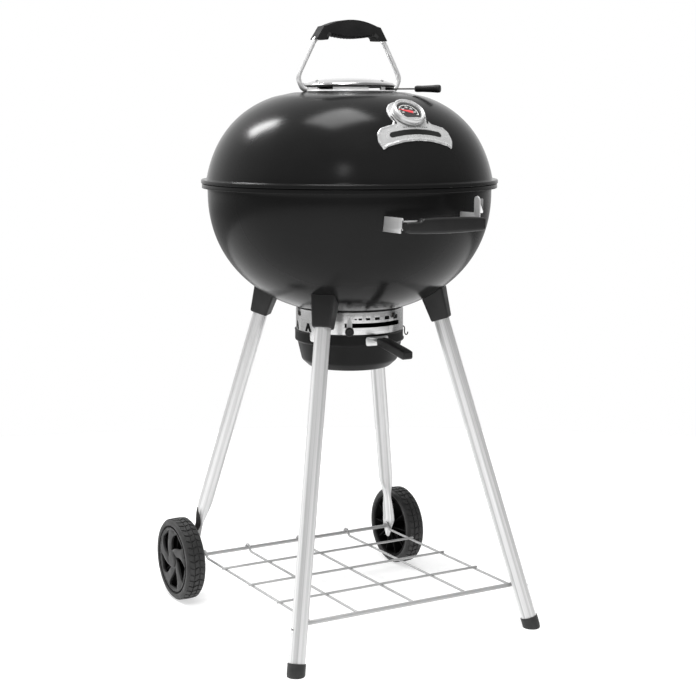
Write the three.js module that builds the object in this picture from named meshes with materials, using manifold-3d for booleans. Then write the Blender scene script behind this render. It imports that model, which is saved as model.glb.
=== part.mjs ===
// Kettle charcoal grill: enamelled bowl and lid on four splayed legs, two of them on wheels.
// Millimetres, +Z up, standing on z = 0. The front, with the thermometer and the handles, faces -Y.
import * as THREE from "three";
import { mergeVertices } from "three/addons/utils/BufferGeometryUtils.js";
import Module from "manifold-3d";

const wasm = await Module();
wasm.setup();

// ---------------------------------------------------------------- driving dimensions

const GAP = 0.4; // clearance between neighbouring pieces
const AXIS_Y = 9.8; // the kettle's axis, so that the whole object is centred on the origin
const SHEET = 2; // thickness of the enamelled steel

// Outlines of bowl and lid: (r / a)^n + (height / b)^n = 1, measured from the level z.
const BOWL = { a: 291.9, b: 252, n: 2.177, z: 901.8 };
const LID = { a: 301.1, b: 290.3, n: 2.719, z: 822 };
const RIM_Z = 919; // where the lid meets the bowl
const RIM_R = 305;
const RIM_DEPTH = 9; // height of the folded edge on the bowl
const LID_FLAT_Z = 1102; // flat top of the lid, which carries the vent

const LEG_R = 16;
const LEG_WALL = 1.5;
const LEG_FOOT = { x: 278.4, y: 280.6 }; // leg centres on the floor
const LEG_LEAN = { x: 0.217, y: 0.222 }; // inward lean for each unit of height
const LEG_TOP_Z = 688;
const SOCKET = { bottom: 642, top: 760, width: 37, widthTop: 62, bore: 16.5 };

const AXLE = { y: 260.4, z: 90, r: 4 };
const WHEEL_R = 90;
const WHEEL_IN = 257;
const WHEEL_OUT = 302;
const TYRE_IN = 74;
const SPOKES = 5;

const BAND = { r: 112, bottom: 598, top: 663.4 }; // perforated collar below the bowl
const POT = { r: 114, rim: 617, step: 594.5, bottom: 536, foot: 62 };
const LEVER_ANGLE = -119.8; // sweeper lever at the start of its slot, from +X
const LEVER_SWEEP = 60;

const VENT = { r: 91, flange: 95, cap: 94, top: 1131 };
const VENT_LEVER_ANGLE = -45;

const GRATE = { r: 283, z: 886, rod: 2.5, pitch: 44 };
const COALS = { r: 219, z: 742, rod: 3, pitch: 50 };

const HANDLE = { left: -84, right: 90.5, half: 91, back: -346, front: -370, low: 838, high: 871 };

const RACK = { left: -222, right: 249.4, front: -240.4, z: 85, wire: 2.6, edge: 4.5 };

// ---------------------------------------------------------------- materials

const finish = (color, roughness, metalness) =>
  new THREE.MeshStandardMaterial({ color, roughness, metalness });
const ENAMEL = finish(0x17171a, 0.18, 0.1);
const BLACK_PLASTIC = finish(0x1d1d1f, 0.55, 0);
const RUBBER = finish(0x202022, 0.85, 0);
const CHROME = finish(0xe6e8ea, 0.12, 1);
const SATIN_STEEL = finish(0xc2c6c9, 0.35, 1);
const CAST_BLACK = finish(0x242426, 0.7, 0.4);
const DIAL_BLACK = finish(0x0c0c0d, 0.4, 0);
const NEEDLE_RED = finish(0xb4161c, 0.4, 0);
const GLASS = finish(0xf2f6f8, 0.05, 0);

// ---------------------------------------------------------------- solids

// A closed geometry as a solid that can be joined and cut, its faces turned outwards.
function solid(geometry) {
  const source = geometry.index ? geometry.toNonIndexed() : geometry;
  const bare = new THREE.BufferGeometry();
  bare.setAttribute("position", source.getAttribute("position"));
  const merged = mergeVertices(bare, 1e-3);
  const vertProperties = merged.attributes.position.array;
  const triVerts = new Uint32Array(merged.index.array);
  const made = new wasm.Manifold(new wasm.Mesh({ numProp: 3, vertProperties, triVerts }));
  if (made.volume() > 0) return made;
  for (let i = 0; i < triVerts.length; i += 3) {
    [triVerts[i + 1], triVerts[i + 2]] = [triVerts[i + 2], triVerts[i + 1]];
  }
  return new wasm.Manifold(new wasm.Mesh({ numProp: 3, vertProperties, triVerts }));
}

const join = (solids) => solids.reduce((whole, piece) => whole.add(piece));
const cut = (body, tools) => tools.reduce((rest, tool) => rest.subtract(tool), body);

const radians = THREE.MathUtils.degToRad;
const vec = (x, y, z) => new THREE.Vector3(x, y, z);

// A point at a radius and an angle about Z.
function polar(r, degrees, z = 0) {
  const angle = radians(degrees);
  return vec(r * Math.cos(angle), r * Math.sin(angle), z);
}

// A body of revolution about Z through [r, z] points.
function turned(points, segments = 36) {
  const profile = points.map(([r, z]) => new THREE.Vector2(r, z));
  if (points[0][0] > 0) profile.push(profile[0].clone());
  return solid(new THREE.LatheGeometry(profile, segments).rotateX(Math.PI / 2));
}

function block(low, high) {
  const size = low.map((edge, i) => high[i] - edge);
  const middle = low.map((edge, i) => (high[i] + edge) / 2);
  return new THREE.BoxGeometry(...size).translate(...middle);
}

// A round bar from one point to another; a second radius makes it a cone.
function bar(from, to, r, sides = 12, endR = r) {
  const along = to.clone().sub(from);
  const geometry = new THREE.CylinderGeometry(endR, r, along.length(), sides);
  const turn = new THREE.Quaternion().setFromUnitVectors(vec(0, 1, 0), along.clone().normalize());
  const middle = from.clone().add(to).multiplyScalar(0.5);
  return geometry.applyQuaternion(turn).translate(middle.x, middle.y, middle.z);
}

// A wire of round section bent along a smooth curve through the points.
function wire(points, r, steps, sides = 8) {
  const section = new THREE.Shape();
  section.absarc(0, 0, r, 0, 2 * Math.PI);
  const path = new THREE.CatmullRomCurve3(points, false, "centripetal");
  return new THREE.ExtrudeGeometry(section, {
    steps,
    curveSegments: sides / 2,
    extrudePath: path,
    bevelEnabled: false,
  });
}

// A flat outline of [x, y] points, given a thickness from z = low to z = high.
function plate(outline, low, high) {
  const shape = new THREE.Shape(outline.map(([x, y]) => new THREE.Vector2(x, y)));
  return new THREE.ExtrudeGeometry(shape, { depth: high - low, bevelEnabled: false }).translate(0, 0, low);
}

// A piece of a ring between two radii and two angles in degrees.
function sector(rIn, rOut, from, to, low, high, steps = 6) {
  const angles = Array.from({ length: steps + 1 }, (_, i) => from + ((to - from) * i) / steps);
  const outer = angles.map((angle) => polar(rOut, angle));
  const inner = angles.reverse().map((angle) => polar(rIn, angle));
  return plate([...outer, ...inner].map((p) => [p.x, p.y]), low, high);
}

// Skin over rings of points with the same count each, closed at both ends.
function loft(rings) {
  const count = rings[0].length;
  const index = [];
  for (let k = 0; k < rings.length - 1; k += 1) {
    for (let i = 0; i < count; i += 1) {
      const [a, b] = [k * count + i, k * count + ((i + 1) % count)];
      index.push(a, b, b + count, a, b + count, a + count);
    }
  }
  const last = (rings.length - 1) * count;
  for (let i = 1; i < count - 1; i += 1) {
    index.push(0, i + 1, i);
    index.push(last, last + i, last + i + 1);
  }
  const geometry = new THREE.BufferGeometry().setFromPoints(rings.flat());
  return geometry.setIndex(index);
}

// A shape drawn as seen from the side, its x as the radius and its y as the height.
const upright = (geometry) => geometry.rotateX(Math.PI / 2);

// A shape drawn face on, stood up so that it looks along +X.
const faceOn = (geometry) => upright(geometry).rotateZ(Math.PI / 2);

// Points of a bowl or lid outline from the axis (t = 0) to its widest level (t = 1).
function outline(shell, side, inset, from, to, steps) {
  return Array.from({ length: steps + 1 }, (_, i) => {
    const angle = ((from + ((to - from) * i) / steps) * Math.PI) / 2;
    const r = (shell.a - inset) * Math.sin(angle) ** (2 / shell.n);
    const height = (shell.b - inset) * Math.abs(Math.cos(angle)) ** (2 / shell.n);
    return [r, shell.z + side * height];
  });
}

// ---------------------------------------------------------------- scene graph

const group = new THREE.Group();
group.position.y = AXIS_Y;

// Adds one named piece, from a solid or a closed geometry.
function piece(name, shape, material) {
  let geometry = shape;
  if (!shape.isBufferGeometry) {
    const { vertProperties, triVerts } = shape.getMesh();
    geometry = new THREE.BufferGeometry();
    geometry.setAttribute("position", new THREE.Float32BufferAttribute(vertProperties, 3));
    geometry.setIndex([...triVerts]);
  }
  geometry.computeVertexNormals();
  const mesh = new THREE.Mesh(geometry, material);
  mesh.name = name;
  group.add(mesh);
  return mesh;
}

// ---------------------------------------------------------------- bowl

const VENT_SLOT = { in: 38, out: 86, half: 13 };
const QUARTERS = [0, 90, 180, 270];
const DIAGONALS = [45, 135, 225, 315];
const SHAFT_R = 5;

function bowl() {
  const lip = RIM_R - 1.5;
  const outer = outline(BOWL, -1, 0, 0, 1, 8);
  const inner = outline(BOWL, -1, SHEET, 0, 1, 8).reverse();
  const top = RIM_Z - GAP;
  const edge = [
    [BOWL.a + 2, top - SHEET],
    [lip - SHEET, top - SHEET],
    [lip - SHEET, top - RIM_DEPTH],
    [lip, top - RIM_DEPTH],
    [lip, top],
    [BOWL.a + 2 - SHEET, top],
  ];
  const shell = turned([...outer, ...edge, ...inner]);
  const { in: rIn, out: rOut, half } = VENT_SLOT;
  const floor = BOWL.z - BOWL.b;
  const slots = QUARTERS.map((angle) =>
    solid(sector(rIn, rOut, angle - half, angle + half, floor - 10, floor + 30)),
  );
  const shaftHole = solid(bar(vec(0, 0, floor - 10), vec(0, 0, floor + 10), SHAFT_R + 2));
  return cut(shell, [...slots, shaftHole]);
}
piece("bowl", bowl(), ENAMEL);

// Solid form of the bowl's outside, grown by the usual gap, for fitting pieces to it.
const bowlOutside = turned([...outline(BOWL, -1, -GAP, 0, 1, 8), [BOWL.a + 2, RIM_Z], [0, RIM_Z]]);

// Ledges on the bowl's wall that carry the two grates.
for (const [i, angle] of DIAGONALS.entries()) {
  const arm = block([GRATE.r - 12, -9, GRATE.z - 8], [GRATE.r + 1.5, 9, GRATE.z - 5]);
  const web = block([GRATE.r - 2, -9, GRATE.z - 30], [GRATE.r + 1.5, 9, GRATE.z - 6]);
  const ledge = solid(arm).add(solid(web));
  const mesh = piece(`grate_ledge_${i + 1}`, ledge, SATIN_STEEL);
  mesh.rotation.z = radians(angle);
}

// ---------------------------------------------------------------- legs

const CORNERS = [
  { name: "front_left", x: -1, y: -1 },
  { name: "front_right", x: 1, y: -1 },
  { name: "rear_left", x: -1, y: 1 },
  { name: "rear_right", x: 1, y: 1 },
];

// A point on a leg's centreline at the given height.
const onLeg = (corner, z) =>
  vec(corner.x * (LEG_FOOT.x - LEG_LEAN.x * z), corner.y * (LEG_FOOT.y - LEG_LEAN.y * z), z);

// The leg's own frame: z along the leg from the floor, x outwards to the side.
function legFrame(corner) {
  const along = onLeg(corner, 1).sub(onLeg(corner, 0)).normalize();
  const side = vec(corner.x, 0, 0).projectOnPlane(along).normalize();
  const across = along.clone().cross(side);
  const start = onLeg(corner, 0);
  return new THREE.Matrix4().makeBasis(side, across, along).setPosition(start);
}

function tube(corner, low, high) {
  const outside = solid(bar(onLeg(corner, low), onLeg(corner, high), LEG_R, 16));
  const inside = solid(bar(onLeg(corner, low - 5), onLeg(corner, high + 5), LEG_R - LEG_WALL, 16));
  return outside.subtract(inside);
}

// Moulded socket between leg and bowl: a tapered block with rounded corners, cut to the bowl.
function socket(corner) {
  const low = onLeg(corner, SOCKET.bottom);
  const high = onLeg(corner, SOCKET.top);
  const ratio = Math.SQRT1_2;
  const squareLow = SOCKET.width * ratio;
  const squareHigh = SOCKET.widthTop * ratio;
  const square = solid(bar(low, high, squareLow, 4, squareHigh));
  const round = solid(bar(low, high, squareLow * 0.86, 16, squareHigh * 0.86));
  const bore = solid(bar(onLeg(corner, SOCKET.bottom - 5), onLeg(corner, LEG_TOP_Z + 1), SOCKET.bore, 16));
  return cut(square.intersect(round), [bore, bowlOutside]);
}

// The foot of a rear leg, from the round tube down to the tip below the axle. Each station has
// the half width along the kettle's side and the half thickness.
const PRESSED = [
  { z: 64.5, wide: 3.5, thick: 1.2 },
  { z: 68, wide: 8, thick: 1.6 },
  { z: 77, wide: 12.5, thick: 1.6 },
  { z: 90, wide: 18.5, thick: 1.6 },
  { z: 107, wide: 24.5, thick: 1.6 },
  { z: 135, wide: 23.5, thick: 1.6 },
  { z: 150, wide: 20.5, thick: 1.8 },
  { z: 168, wide: 17, thick: 2.5 },
  { z: 185, wide: 16.5, thick: 7 },
  { z: 200, wide: 16.5, thick: 12 },
  { z: 215, wide: LEG_R, thick: LEG_R },
];
const TAB_X = 254.1; // the pressed end stands upright here, between rack and wheel

// Level section of a rear leg, pressed to the given half sizes.
function legSection(corner, { z, wide, thick }) {
  const centre = onLeg(corner, z);
  centre.x = corner.x * Math.min(Math.abs(centre.x), TAB_X);
  centre.y = corner.y * Math.min(Math.abs(centre.y), AXLE.y);
  const sides = 16;
  return Array.from({ length: sides }, (_, i) => {
    const angle = (i * 2 * Math.PI) / sides;
    return vec(centre.x + thick * Math.cos(angle), centre.y + wide * Math.sin(angle), z);
  });
}

// Tube pressed flat at its lower end, with a hole for the axle.
function rearLeg(corner) {
  const stations = [...PRESSED, { z: LEG_TOP_Z - 6, wide: LEG_R, thick: LEG_R }];
  const outside = solid(loft(stations.map((station) => legSection(corner, station))));
  const boreFrom = PRESSED.at(-1).z + 10;
  const bore = solid(bar(onLeg(corner, boreFrom), onLeg(corner, LEG_TOP_Z + 20), LEG_R - LEG_WALL, 16));
  const hole = bar(vec(corner.x * 220, AXLE.y, AXLE.z), vec(corner.x * 270, AXLE.y, AXLE.z), AXLE.r + 0.8);
  return cut(outside, [bore, solid(hole)]);
}

// Rubber cap on a front leg, cut level where it stands on the floor.
function footCap(corner) {
  const frame = legFrame(corner);
  const wide = LEG_R + 2;
  const outside = turned([[0, -8], [wide - 6, -8], [wide - 1, -3], [wide, 4], [wide, 24], [0, 24]], 16);
  const bore = turned([[0, 8], [LEG_R + GAP, 8], [LEG_R + GAP, 30], [0, 30]], 16);
  const floor = block([-400, -400, -60], [400, 400, 0]);
  return cut(outside.subtract(bore).transform(frame.elements), [solid(floor)]);
}

for (const corner of CORNERS) {
  piece(`leg_socket_${corner.name}`, socket(corner), BLACK_PLASTIC);
  const front = corner.y < 0;
  piece(`leg_${corner.name}`, front ? tube(corner, 9, LEG_TOP_Z) : rearLeg(corner), SATIN_STEEL);
  if (front) piece(`foot_cap_${corner.name}`, footCap(corner), RUBBER);
}

// ---------------------------------------------------------------- axle and wheels

piece("axle", bar(vec(-292, AXLE.y, AXLE.z), vec(292, AXLE.y, AXLE.z), AXLE.r), SATIN_STEEL);

// Comma-shaped openings between the spokes of a wheel, as holes in its disc.
const OPENING = { rIn: 21, rOut: 66, steps: 6 };

function spokeOpening(index) {
  const { rIn, rOut, steps } = OPENING;
  const edge = (share) =>
    Array.from({ length: steps }, (_, i) => {
      const t = i / (steps - 1);
      const middle = 28 - 47 * t ** 0.55;
      const width = 12 + 110 * t - 90 * t ** 2;
      return polar(rIn + (rOut - rIn) * t, (index * 360) / SPOKES + middle + share * width);
    });
  const points = [...edge(0.5), ...edge(-0.5).reverse()];
  return new THREE.Path(points.map((p) => new THREE.Vector2(p.x, p.y)));
}

function wheelDisc() {
  const face = new THREE.Shape();
  face.absarc(0, 0, TYRE_IN - GAP, 0, 2 * Math.PI);
  for (let i = 0; i < SPOKES; i += 1) face.holes.push(spokeOpening(i));
  const disc = new THREE.ExtrudeGeometry(face, { depth: 36, bevelEnabled: false, curveSegments: 16 });
  const hub = bar(vec(0, 0, 1), vec(0, 0, 47), 19, 20, 15);
  const bore = bar(vec(0, 0, -1), vec(0, 0, 36.5), AXLE.r + 0.8);
  return solid(disc.translate(0, 0, 7)).add(solid(hub)).subtract(solid(bore));
}

function tyre() {
  const width = WHEEL_OUT - WHEEL_IN;
  const shoulder = 5;
  const profile = [
    [TYRE_IN, 2],
    [WHEEL_R - 7, 0],
    [WHEEL_R - 1, shoulder],
    [WHEEL_R, width / 2],
    [WHEEL_R - 1, width - shoulder],
    [WHEEL_R - 7, width],
    [TYRE_IN, width - 2],
  ];
  return turned(profile, 32);
}

for (const [side, name] of [
  [-1, "left"],
  [1, "right"],
]) {
  const place = (mesh) => {
    mesh.rotation.set(Math.PI / 2, (side * Math.PI) / 2, 0);
    mesh.position.set(side * WHEEL_IN, AXLE.y, AXLE.z);
  };
  place(piece(`wheel_${name}`, wheelDisc(), BLACK_PLASTIC));
  place(piece(`tyre_${name}`, tyre(), RUBBER));
}

// ---------------------------------------------------------------- bottom rack

const LONG_WIRES = [RACK.left, -116, 14, 140, RACK.right];
const CROSS_WIRES = [145, 15, -114];

// Welded wire shelf: the long wires hook over the axle, the front rod reaches both front legs.
function rack() {
  const { left, right, front, z, wire: r, edge } = RACK;
  const hook = [150, 115, 80, 45, 10, -20].map((angle) => polar(AXLE.r + r + 1.4, angle));
  const rods = [solid(bar(vec(-246, front, z), vec(right + 4, front, z), edge, 10))];
  for (const x of LONG_WIRES) {
    const bend = [vec(x, AXLE.y - 24, z), vec(x, AXLE.y - 15, z + 1)];
    bend.push(...hook.map((p) => vec(x, AXLE.y + p.x, AXLE.z + p.y)));
    rods.push(solid(bar(vec(x, front, z), vec(x, AXLE.y - 23.5, z), r, 6)));
    rods.push(solid(wire(bend, r, 9, 6)));
  }
  for (const y of CROSS_WIRES) {
    rods.push(solid(bar(vec(left - 11, y, z), vec(right + 3, y, z), r, 6)));
  }
  return join(rods);
}
piece("bottom_rack", rack(), SATIN_STEEL);

// ---------------------------------------------------------------- vent band and ash pot

const SLOT = { low: 631.3, high: 640.5 };
const MARKS = [6.5, 11.2, 19.6, 30.4, 43.1, 57.4]; // graduated row above the slot, by angle
const MARK_Z = 648.6;
const HOOKS = [-29.8, -149.8, 90.2];
const HOOK_Z = 633;
const CLIPS = [-186.8, -66.8, 53.2];
const CHEVRONS = [-202.3, -183.8, -165.3];
const CUT_IN = BAND.r - 12; // openings are cut through the band between these two radii
const CUT_OUT = BAND.r + 8;

// V-shaped opening in the band.
function chevron(angle) {
  const outline = [
    [0, 652],
    [6.5, 630],
    [2.8, 630],
    [0, 640],
    [-2.8, 630],
    [-6.5, 630],
  ];
  return faceOn(plate(outline, CUT_IN, CUT_OUT)).rotateZ(radians(angle));
}

function ventBand() {
  const { r, bottom, top } = BAND;
  const sheet = 1.5;
  const lip = r - 9.5;
  const shell = turned([
    [r, bottom],
    [r, top],
    [lip, top - 2],
    [lip, top - 2 - sheet],
    [r - sheet, top - 2],
    [r - sheet, bottom],
  ]);
  const start = LEVER_ANGLE - 5;
  const end = LEVER_ANGLE + LEVER_SWEEP + 5;
  const openings = [sector(CUT_IN, CUT_OUT, start, end, SLOT.low, SLOT.high, 12)];
  for (const [i, step] of MARKS.entries()) {
    const half = 1 + 0.55 * i;
    const angle = LEVER_ANGLE + step;
    openings.push(sector(CUT_IN, CUT_OUT, angle - half, angle + half, MARK_Z - half, MARK_Z + half, 1));
  }
  openings.push(...CHEVRONS.map(chevron));
  for (const angle of HOOKS) {
    openings.push(bar(polar(CUT_IN, angle, HOOK_Z), polar(CUT_OUT, angle, HOOK_Z), 2.2, 8));
  }
  return cut(shell, openings.map(solid));
}
piece("vent_band", ventBand(), CHROME);

for (const [i, angle] of HOOKS.entries()) {
  const path = [
    [107, HOOK_Z],
    [113.5, HOOK_Z],
    [116.6, 629],
    [116.6, 615],
    [121, 609.5],
    [125.5, 613],
    [125.5, 619],
  ].map(([r, z]) => polar(r, angle, z));
  piece(`pot_hook_${i + 1}`, wire(path, 1.25, 11, 4), CAST_BLACK);
}

// Clips that hold the band to the bowl, between the two.
for (const [i, angle] of CLIPS.entries()) {
  const strip = block([99.6, -5, 642], [101.6, 5, 660.2]);
  const tab = block([99.6, -5, 642], [109.5, 5, 643.5]);
  const mesh = piece(`band_clip_${i + 1}`, solid(strip).add(solid(tab)), CAST_BLACK);
  mesh.rotation.z = radians(angle);
}

const POT_NOTCH = { half: 25, z: 598 }; // cut-outs in the pot's rim below the hooks

function ashPot() {
  const { r, rim, step, bottom, foot } = POT;
  const sheet = 1.6;
  const wall = (inset) => [
    [foot, bottom + inset],
    [foot + 22 - inset * 0.4, bottom + 5 + inset],
    [foot + 35 - inset, bottom + 17 + inset * 0.5],
    [r - 5 - inset, step - 2],
    [r - inset, step + 1],
    [r - inset, rim - GAP],
  ];
  const pot = turned([[0, bottom], ...wall(0), ...wall(sheet).reverse(), [0, bottom + sheet]]);
  const notch = block([CUT_IN, -POT_NOTCH.half, POT_NOTCH.z], [CUT_OUT, POT_NOTCH.half, rim + 2]);
  return cut(pot, HOOKS.map((angle) => solid(notch.clone().rotateZ(radians(angle)))));
}
piece("ash_pot", ashPot(), ENAMEL);

// Steel arm from the pot's wall into the grip.
const POT_ARM = { half: 9, low: 602, high: 604.2, end: -146 };

function potBracket() {
  const face = POT.r + 1;
  const backPlate = block([-26, -face - 2.2, 594], [26, -face, 613]);
  const shelf = block([-20, -face - 12, 609.5], [20, -face - 1, 611.5]);
  const arm = block([-POT_ARM.half, POT_ARM.end, POT_ARM.low], [POT_ARM.half, -face - 1, POT_ARM.high]);
  return join([backPlate, shelf, arm].map(solid));
}
piece("pot_handle_bracket", potBracket(), SATIN_STEEL);

// Tapered bar grip that points forwards and a little down, with a pocket for the arm.
function potGrip() {
  const side = [
    [-129.4, 612],
    [-129.4, 595],
    [-150, 592.5],
    [-185, 587],
    [-225, 580.5],
    [-231, 582],
    [-233.5, 585],
    [-233.5, 594.5],
    [-231, 597.5],
    [-225, 599],
    [-185, 606],
    [-150, 612],
  ];
  const { half, low, high, end } = POT_ARM;
  const pocket = block([-half - 1, end - 1, low - 0.6], [half + 1, -120, high + 0.6]);
  return solid(faceOn(plate(side, -11, 11))).subtract(solid(pocket));
}
piece("pot_grip", potGrip(), BLACK_PLASTIC);

// ---------------------------------------------------------------- ash sweeper

// Curved blades just above the bowl's floor, on one shaft through it.
function sweeperBlades() {
  const { in: rIn, half } = VENT_SLOT;
  const lift = SHEET + 1.2;
  const thick = 2;
  const low = outline(BOWL, -1, lift, 0, 0.25, 2);
  const high = outline(BOWL, -1, lift + thick, 0, 0.25, 2).reverse();
  const dish = turned([...low, ...high]);
  const blades = DIAGONALS.map((angle) =>
    dish.intersect(solid(sector(8, 90, angle - half - 2, angle + half + 2, 640, 690))),
  );
  const hub = turned([
    [0, 653.6],
    [rIn / 2, 653.6],
    [rIn / 2, 660],
    [9, 668],
    [0, 668],
  ], 24);
  const shaft = solid(bar(vec(0, 0, 631), vec(0, 0, 656), SHAFT_R));
  return join([hub, shaft, ...blades]);
}
piece("sweeper_blades", sweeperBlades(), CAST_BLACK);

function sweeperLever() {
  const eye = solid(bar(vec(0, 0, 634), vec(0, 0, 637), 12, 16));
  const arm = solid(block([0, -5, 634], [116, 5, 637]));
  const outline = [
    [0, 652],
    [5, 640],
    [5, 622],
    [-5, 622],
    [-5, 640],
  ];
  const pointer = solid(faceOn(plate(outline, BAND.r + 2.4, BAND.r + 4.2)));
  const bore = solid(bar(vec(0, 0, 630), vec(0, 0, 640), SHAFT_R + GAP));
  return join([eye, arm, pointer]).subtract(bore);
}
const lever = piece("sweeper_lever", sweeperLever(), SATIN_STEEL);
lever.rotation.z = radians(LEVER_ANGLE);

const KNOB = { r: 9, z: 624.5, from: 116.7, to: 130 };
const knobShape = turned([
  [0, 0],
  [KNOB.r - 2, 0],
  [KNOB.r, 3],
  [KNOB.r, 10],
  [KNOB.r - 2.5, KNOB.to - KNOB.from],
  [0, KNOB.to - KNOB.from],
], 20);
const knob = piece("sweeper_knob", knobShape, BLACK_PLASTIC);
knob.position.copy(polar(KNOB.from, LEVER_ANGLE, KNOB.z));
knob.rotation.set(0, Math.PI / 2, radians(LEVER_ANGLE), "ZYX");

// ---------------------------------------------------------------- grates

// A round grate: a ring, parallel rods across it and two cross rods below them.
function grate({ r, z, rod, pitch }, ringR) {
  const ring = [];
  const ringSides = 4;
  for (let i = 0; i < ringSides; i += 1) {
    const angle = (i * 2 * Math.PI) / ringSides;
    ring.push([r - ringR + ringR * Math.cos(angle), z + ringR * Math.sin(angle)]);
  }
  const rods = [turned(ring, 28)];
  const reach = (offset) => Math.sqrt((r - ringR) ** 2 - offset ** 2);
  for (let x = -Math.floor((r - 14) / pitch) * pitch; x < r - 13; x += pitch) {
    rods.push(solid(bar(vec(x, -reach(x), z), vec(x, reach(x), z), rod, 4)));
  }
  for (const y of [-r / 2, r / 2]) {
    const across = z - rod;
    rods.push(solid(bar(vec(-reach(y), y, across), vec(reach(y), y, across), rod, 4)));
  }
  return join(rods);
}
piece("cooking_grate", grate(GRATE, 3.5), SATIN_STEEL);
piece("charcoal_grate", grate(COALS, 4), CAST_BLACK);

// ---------------------------------------------------------------- front handle

// Steel strap: two feet on the bowl, two arms forwards, and a bar behind the grip.
function handleBracket() {
  const { left, right, back, low, high } = HANDLE;
  const middle = (low + high) / 2;
  const thick = 2.5;
  const foot = -262;
  const parts = [block([left, back + 2.5, middle - 9], [right, back + 5, middle + 9])];
  for (const near of [left, right - thick]) {
    parts.push(block([near, back + 2.5, low + 5], [near + thick, foot, high + 1]));
  }
  parts.push(block([right - thick, back + 2.5, high - 2], [right, back + 22, high + 33]));
  return cut(join(parts.map(solid)), [bowlOutside]);
}
piece("handle_bracket", handleBracket(), SATIN_STEEL);

function handleGrip() {
  const { half, back, front, low, high } = HANDLE;
  const outlineFromAbove = [
    [-half, back],
    [-half, front + 12],
    [-half + 18, front + 4],
    [0, front],
    [half - 18, front + 4],
    [half, front + 12],
    [half, back],
  ];
  return plate(outlineFromAbove, low, high);
}
piece("handle_grip", handleGrip(), BLACK_PLASTIC);

const boltAt = (x) => vec(x, HANDLE.back + 12, HANDLE.high + 22);
piece("handle_tab_bolt", bar(boltAt(HANDLE.right + GAP), boltAt(HANDLE.right + 5), 6, 6), CHROME);

// ---------------------------------------------------------------- lid

const dome = (r, inset = 0) =>
  LID.z + (LID.b - inset) * (1 - (r / (LID.a - inset)) ** LID.n) ** (1 / LID.n);
const PROBE = { r: 223, hole: 4 };
const VENT_HOLES = { r: 52, hole: 15 };

// Four round holes, as solids between two levels.
function ventHoles(low, high) {
  return QUARTERS.map((angle) =>
    solid(bar(polar(VENT_HOLES.r, angle, low), polar(VENT_HOLES.r, angle, high), VENT_HOLES.hole)),
  );
}

function lidProfile(inset, steps) {
  const from = 0.24;
  const to = 0.88;
  const side = outline(LID, 1, inset, from, to, steps).filter(([, z]) => z < LID_FLAT_Z - inset - 2);
  return [[0, LID_FLAT_Z - inset], [118, LID_FLAT_Z - inset], ...side.filter(([, z]) => z > RIM_Z + 12)];
}

// Outward normal of the lid on its front centreline at a radius.
function lidNormal(r) {
  const slope = (dome(r + 1) - dome(r - 1)) / 2;
  return vec(0, slope, 1).normalize();
}

const gaugeNormal = lidNormal(PROBE.r);
const gaugeFoot = vec(0, -PROBE.r, dome(PROBE.r));
const onGauge = (height) => gaugeFoot.clone().addScaledVector(gaugeNormal, height);

function lid() {
  const skirtR = LID.a * (1 - ((RIM_Z + 7 - LID.z) / LID.b) ** LID.n) ** (1 / LID.n);
  const outer = lidProfile(0, 8);
  const inner = lidProfile(SHEET, 8).reverse();
  const edge = [
    [skirtR, RIM_Z + 8],
    [RIM_R, RIM_Z + 8],
    [RIM_R, RIM_Z + GAP],
    [RIM_R - SHEET, RIM_Z + GAP],
    [RIM_R - SHEET, RIM_Z + 6],
    [skirtR, RIM_Z + 6],
    [skirtR, RIM_Z + GAP],
    [skirtR - SHEET, RIM_Z + GAP],
    [skirtR - SHEET, RIM_Z + 8],
  ];
  const shell = turned([...outer, ...edge, ...inner]);
  const probeHole = solid(bar(onGauge(-20), onGauge(20), PROBE.hole));
  return cut(shell, [...ventHoles(LID_FLAT_Z - 20, LID_FLAT_Z + 20), probeHole]);
}
piece("lid", lid(), ENAMEL);

// ---------------------------------------------------------------- lid vent

function ventHousing() {
  const { r, flange } = VENT;
  const low = LID_FLAT_Z + GAP;
  const shell = turned([
    [r - 2, low],
    [flange, low],
    [flange, low + 2],
    [r, low + 3.5],
    [r, 1114],
    [r - 2, 1114],
  ]);
  const windows = [15, 105, 195].map((angle) => solid(sector(80, 100, angle, angle + 24, 1107, 1112, 4)));
  const leverSlot = solid(sector(80, 100, VENT_LEVER_ANGLE - 50, VENT_LEVER_ANGLE + 5, 1106, 1111.5, 8));
  return cut(shell, [...windows, leverSlot]);
}
piece("vent_housing", ventHousing(), CHROME);

const capProfile = [
  [0, 1127],
  [60, 1124],
  [88, 1116],
  [VENT.cap - 1.5, 1114.4],
  [VENT.cap, 1116.5],
  [VENT.cap - 4, 1120],
  [70, 1126.8],
  [40, 1130],
  [0, VENT.top],
];
piece("vent_cap", turned(capProfile), CHROME);

// Flat disc with the same holes as the lid. Turning it covers the lid's holes.
function damperDisc() {
  const low = LID_FLAT_Z + 1;
  const disc = solid(bar(vec(0, 0, low), vec(0, 0, low + 2), 84, 36));
  return cut(disc, ventHoles(low - 3, low + 5));
}
piece("damper_disc", damperDisc(), SATIN_STEEL);

const LEVER_Z = 1108.7;
const leverPath = [
  [70, 1107.2],
  [80, 1108],
  [92, LEVER_Z],
  [136.5, LEVER_Z],
].map(([r, z]) => polar(r, VENT_LEVER_ANGLE, z));
piece("damper_lever", wire(leverPath, 1.5, 6, 8), CAST_BLACK);
const gripFrom = polar(137, VENT_LEVER_ANGLE, LEVER_Z);
const gripTo = polar(190, VENT_LEVER_ANGLE, LEVER_Z);
piece("damper_grip", bar(gripFrom, gripTo, 6.5, 16, 8), BLACK_PLASTIC);

// ---------------------------------------------------------------- lid handle

const BAIL = { r: 5, topX: 80, topZ: 1209, wideX: 117.5, wideZ: 1128, footX: 100 };
const HOOP = { r: 98.3, z: 1120, wire: 3.5, blend: 25 };

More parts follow.
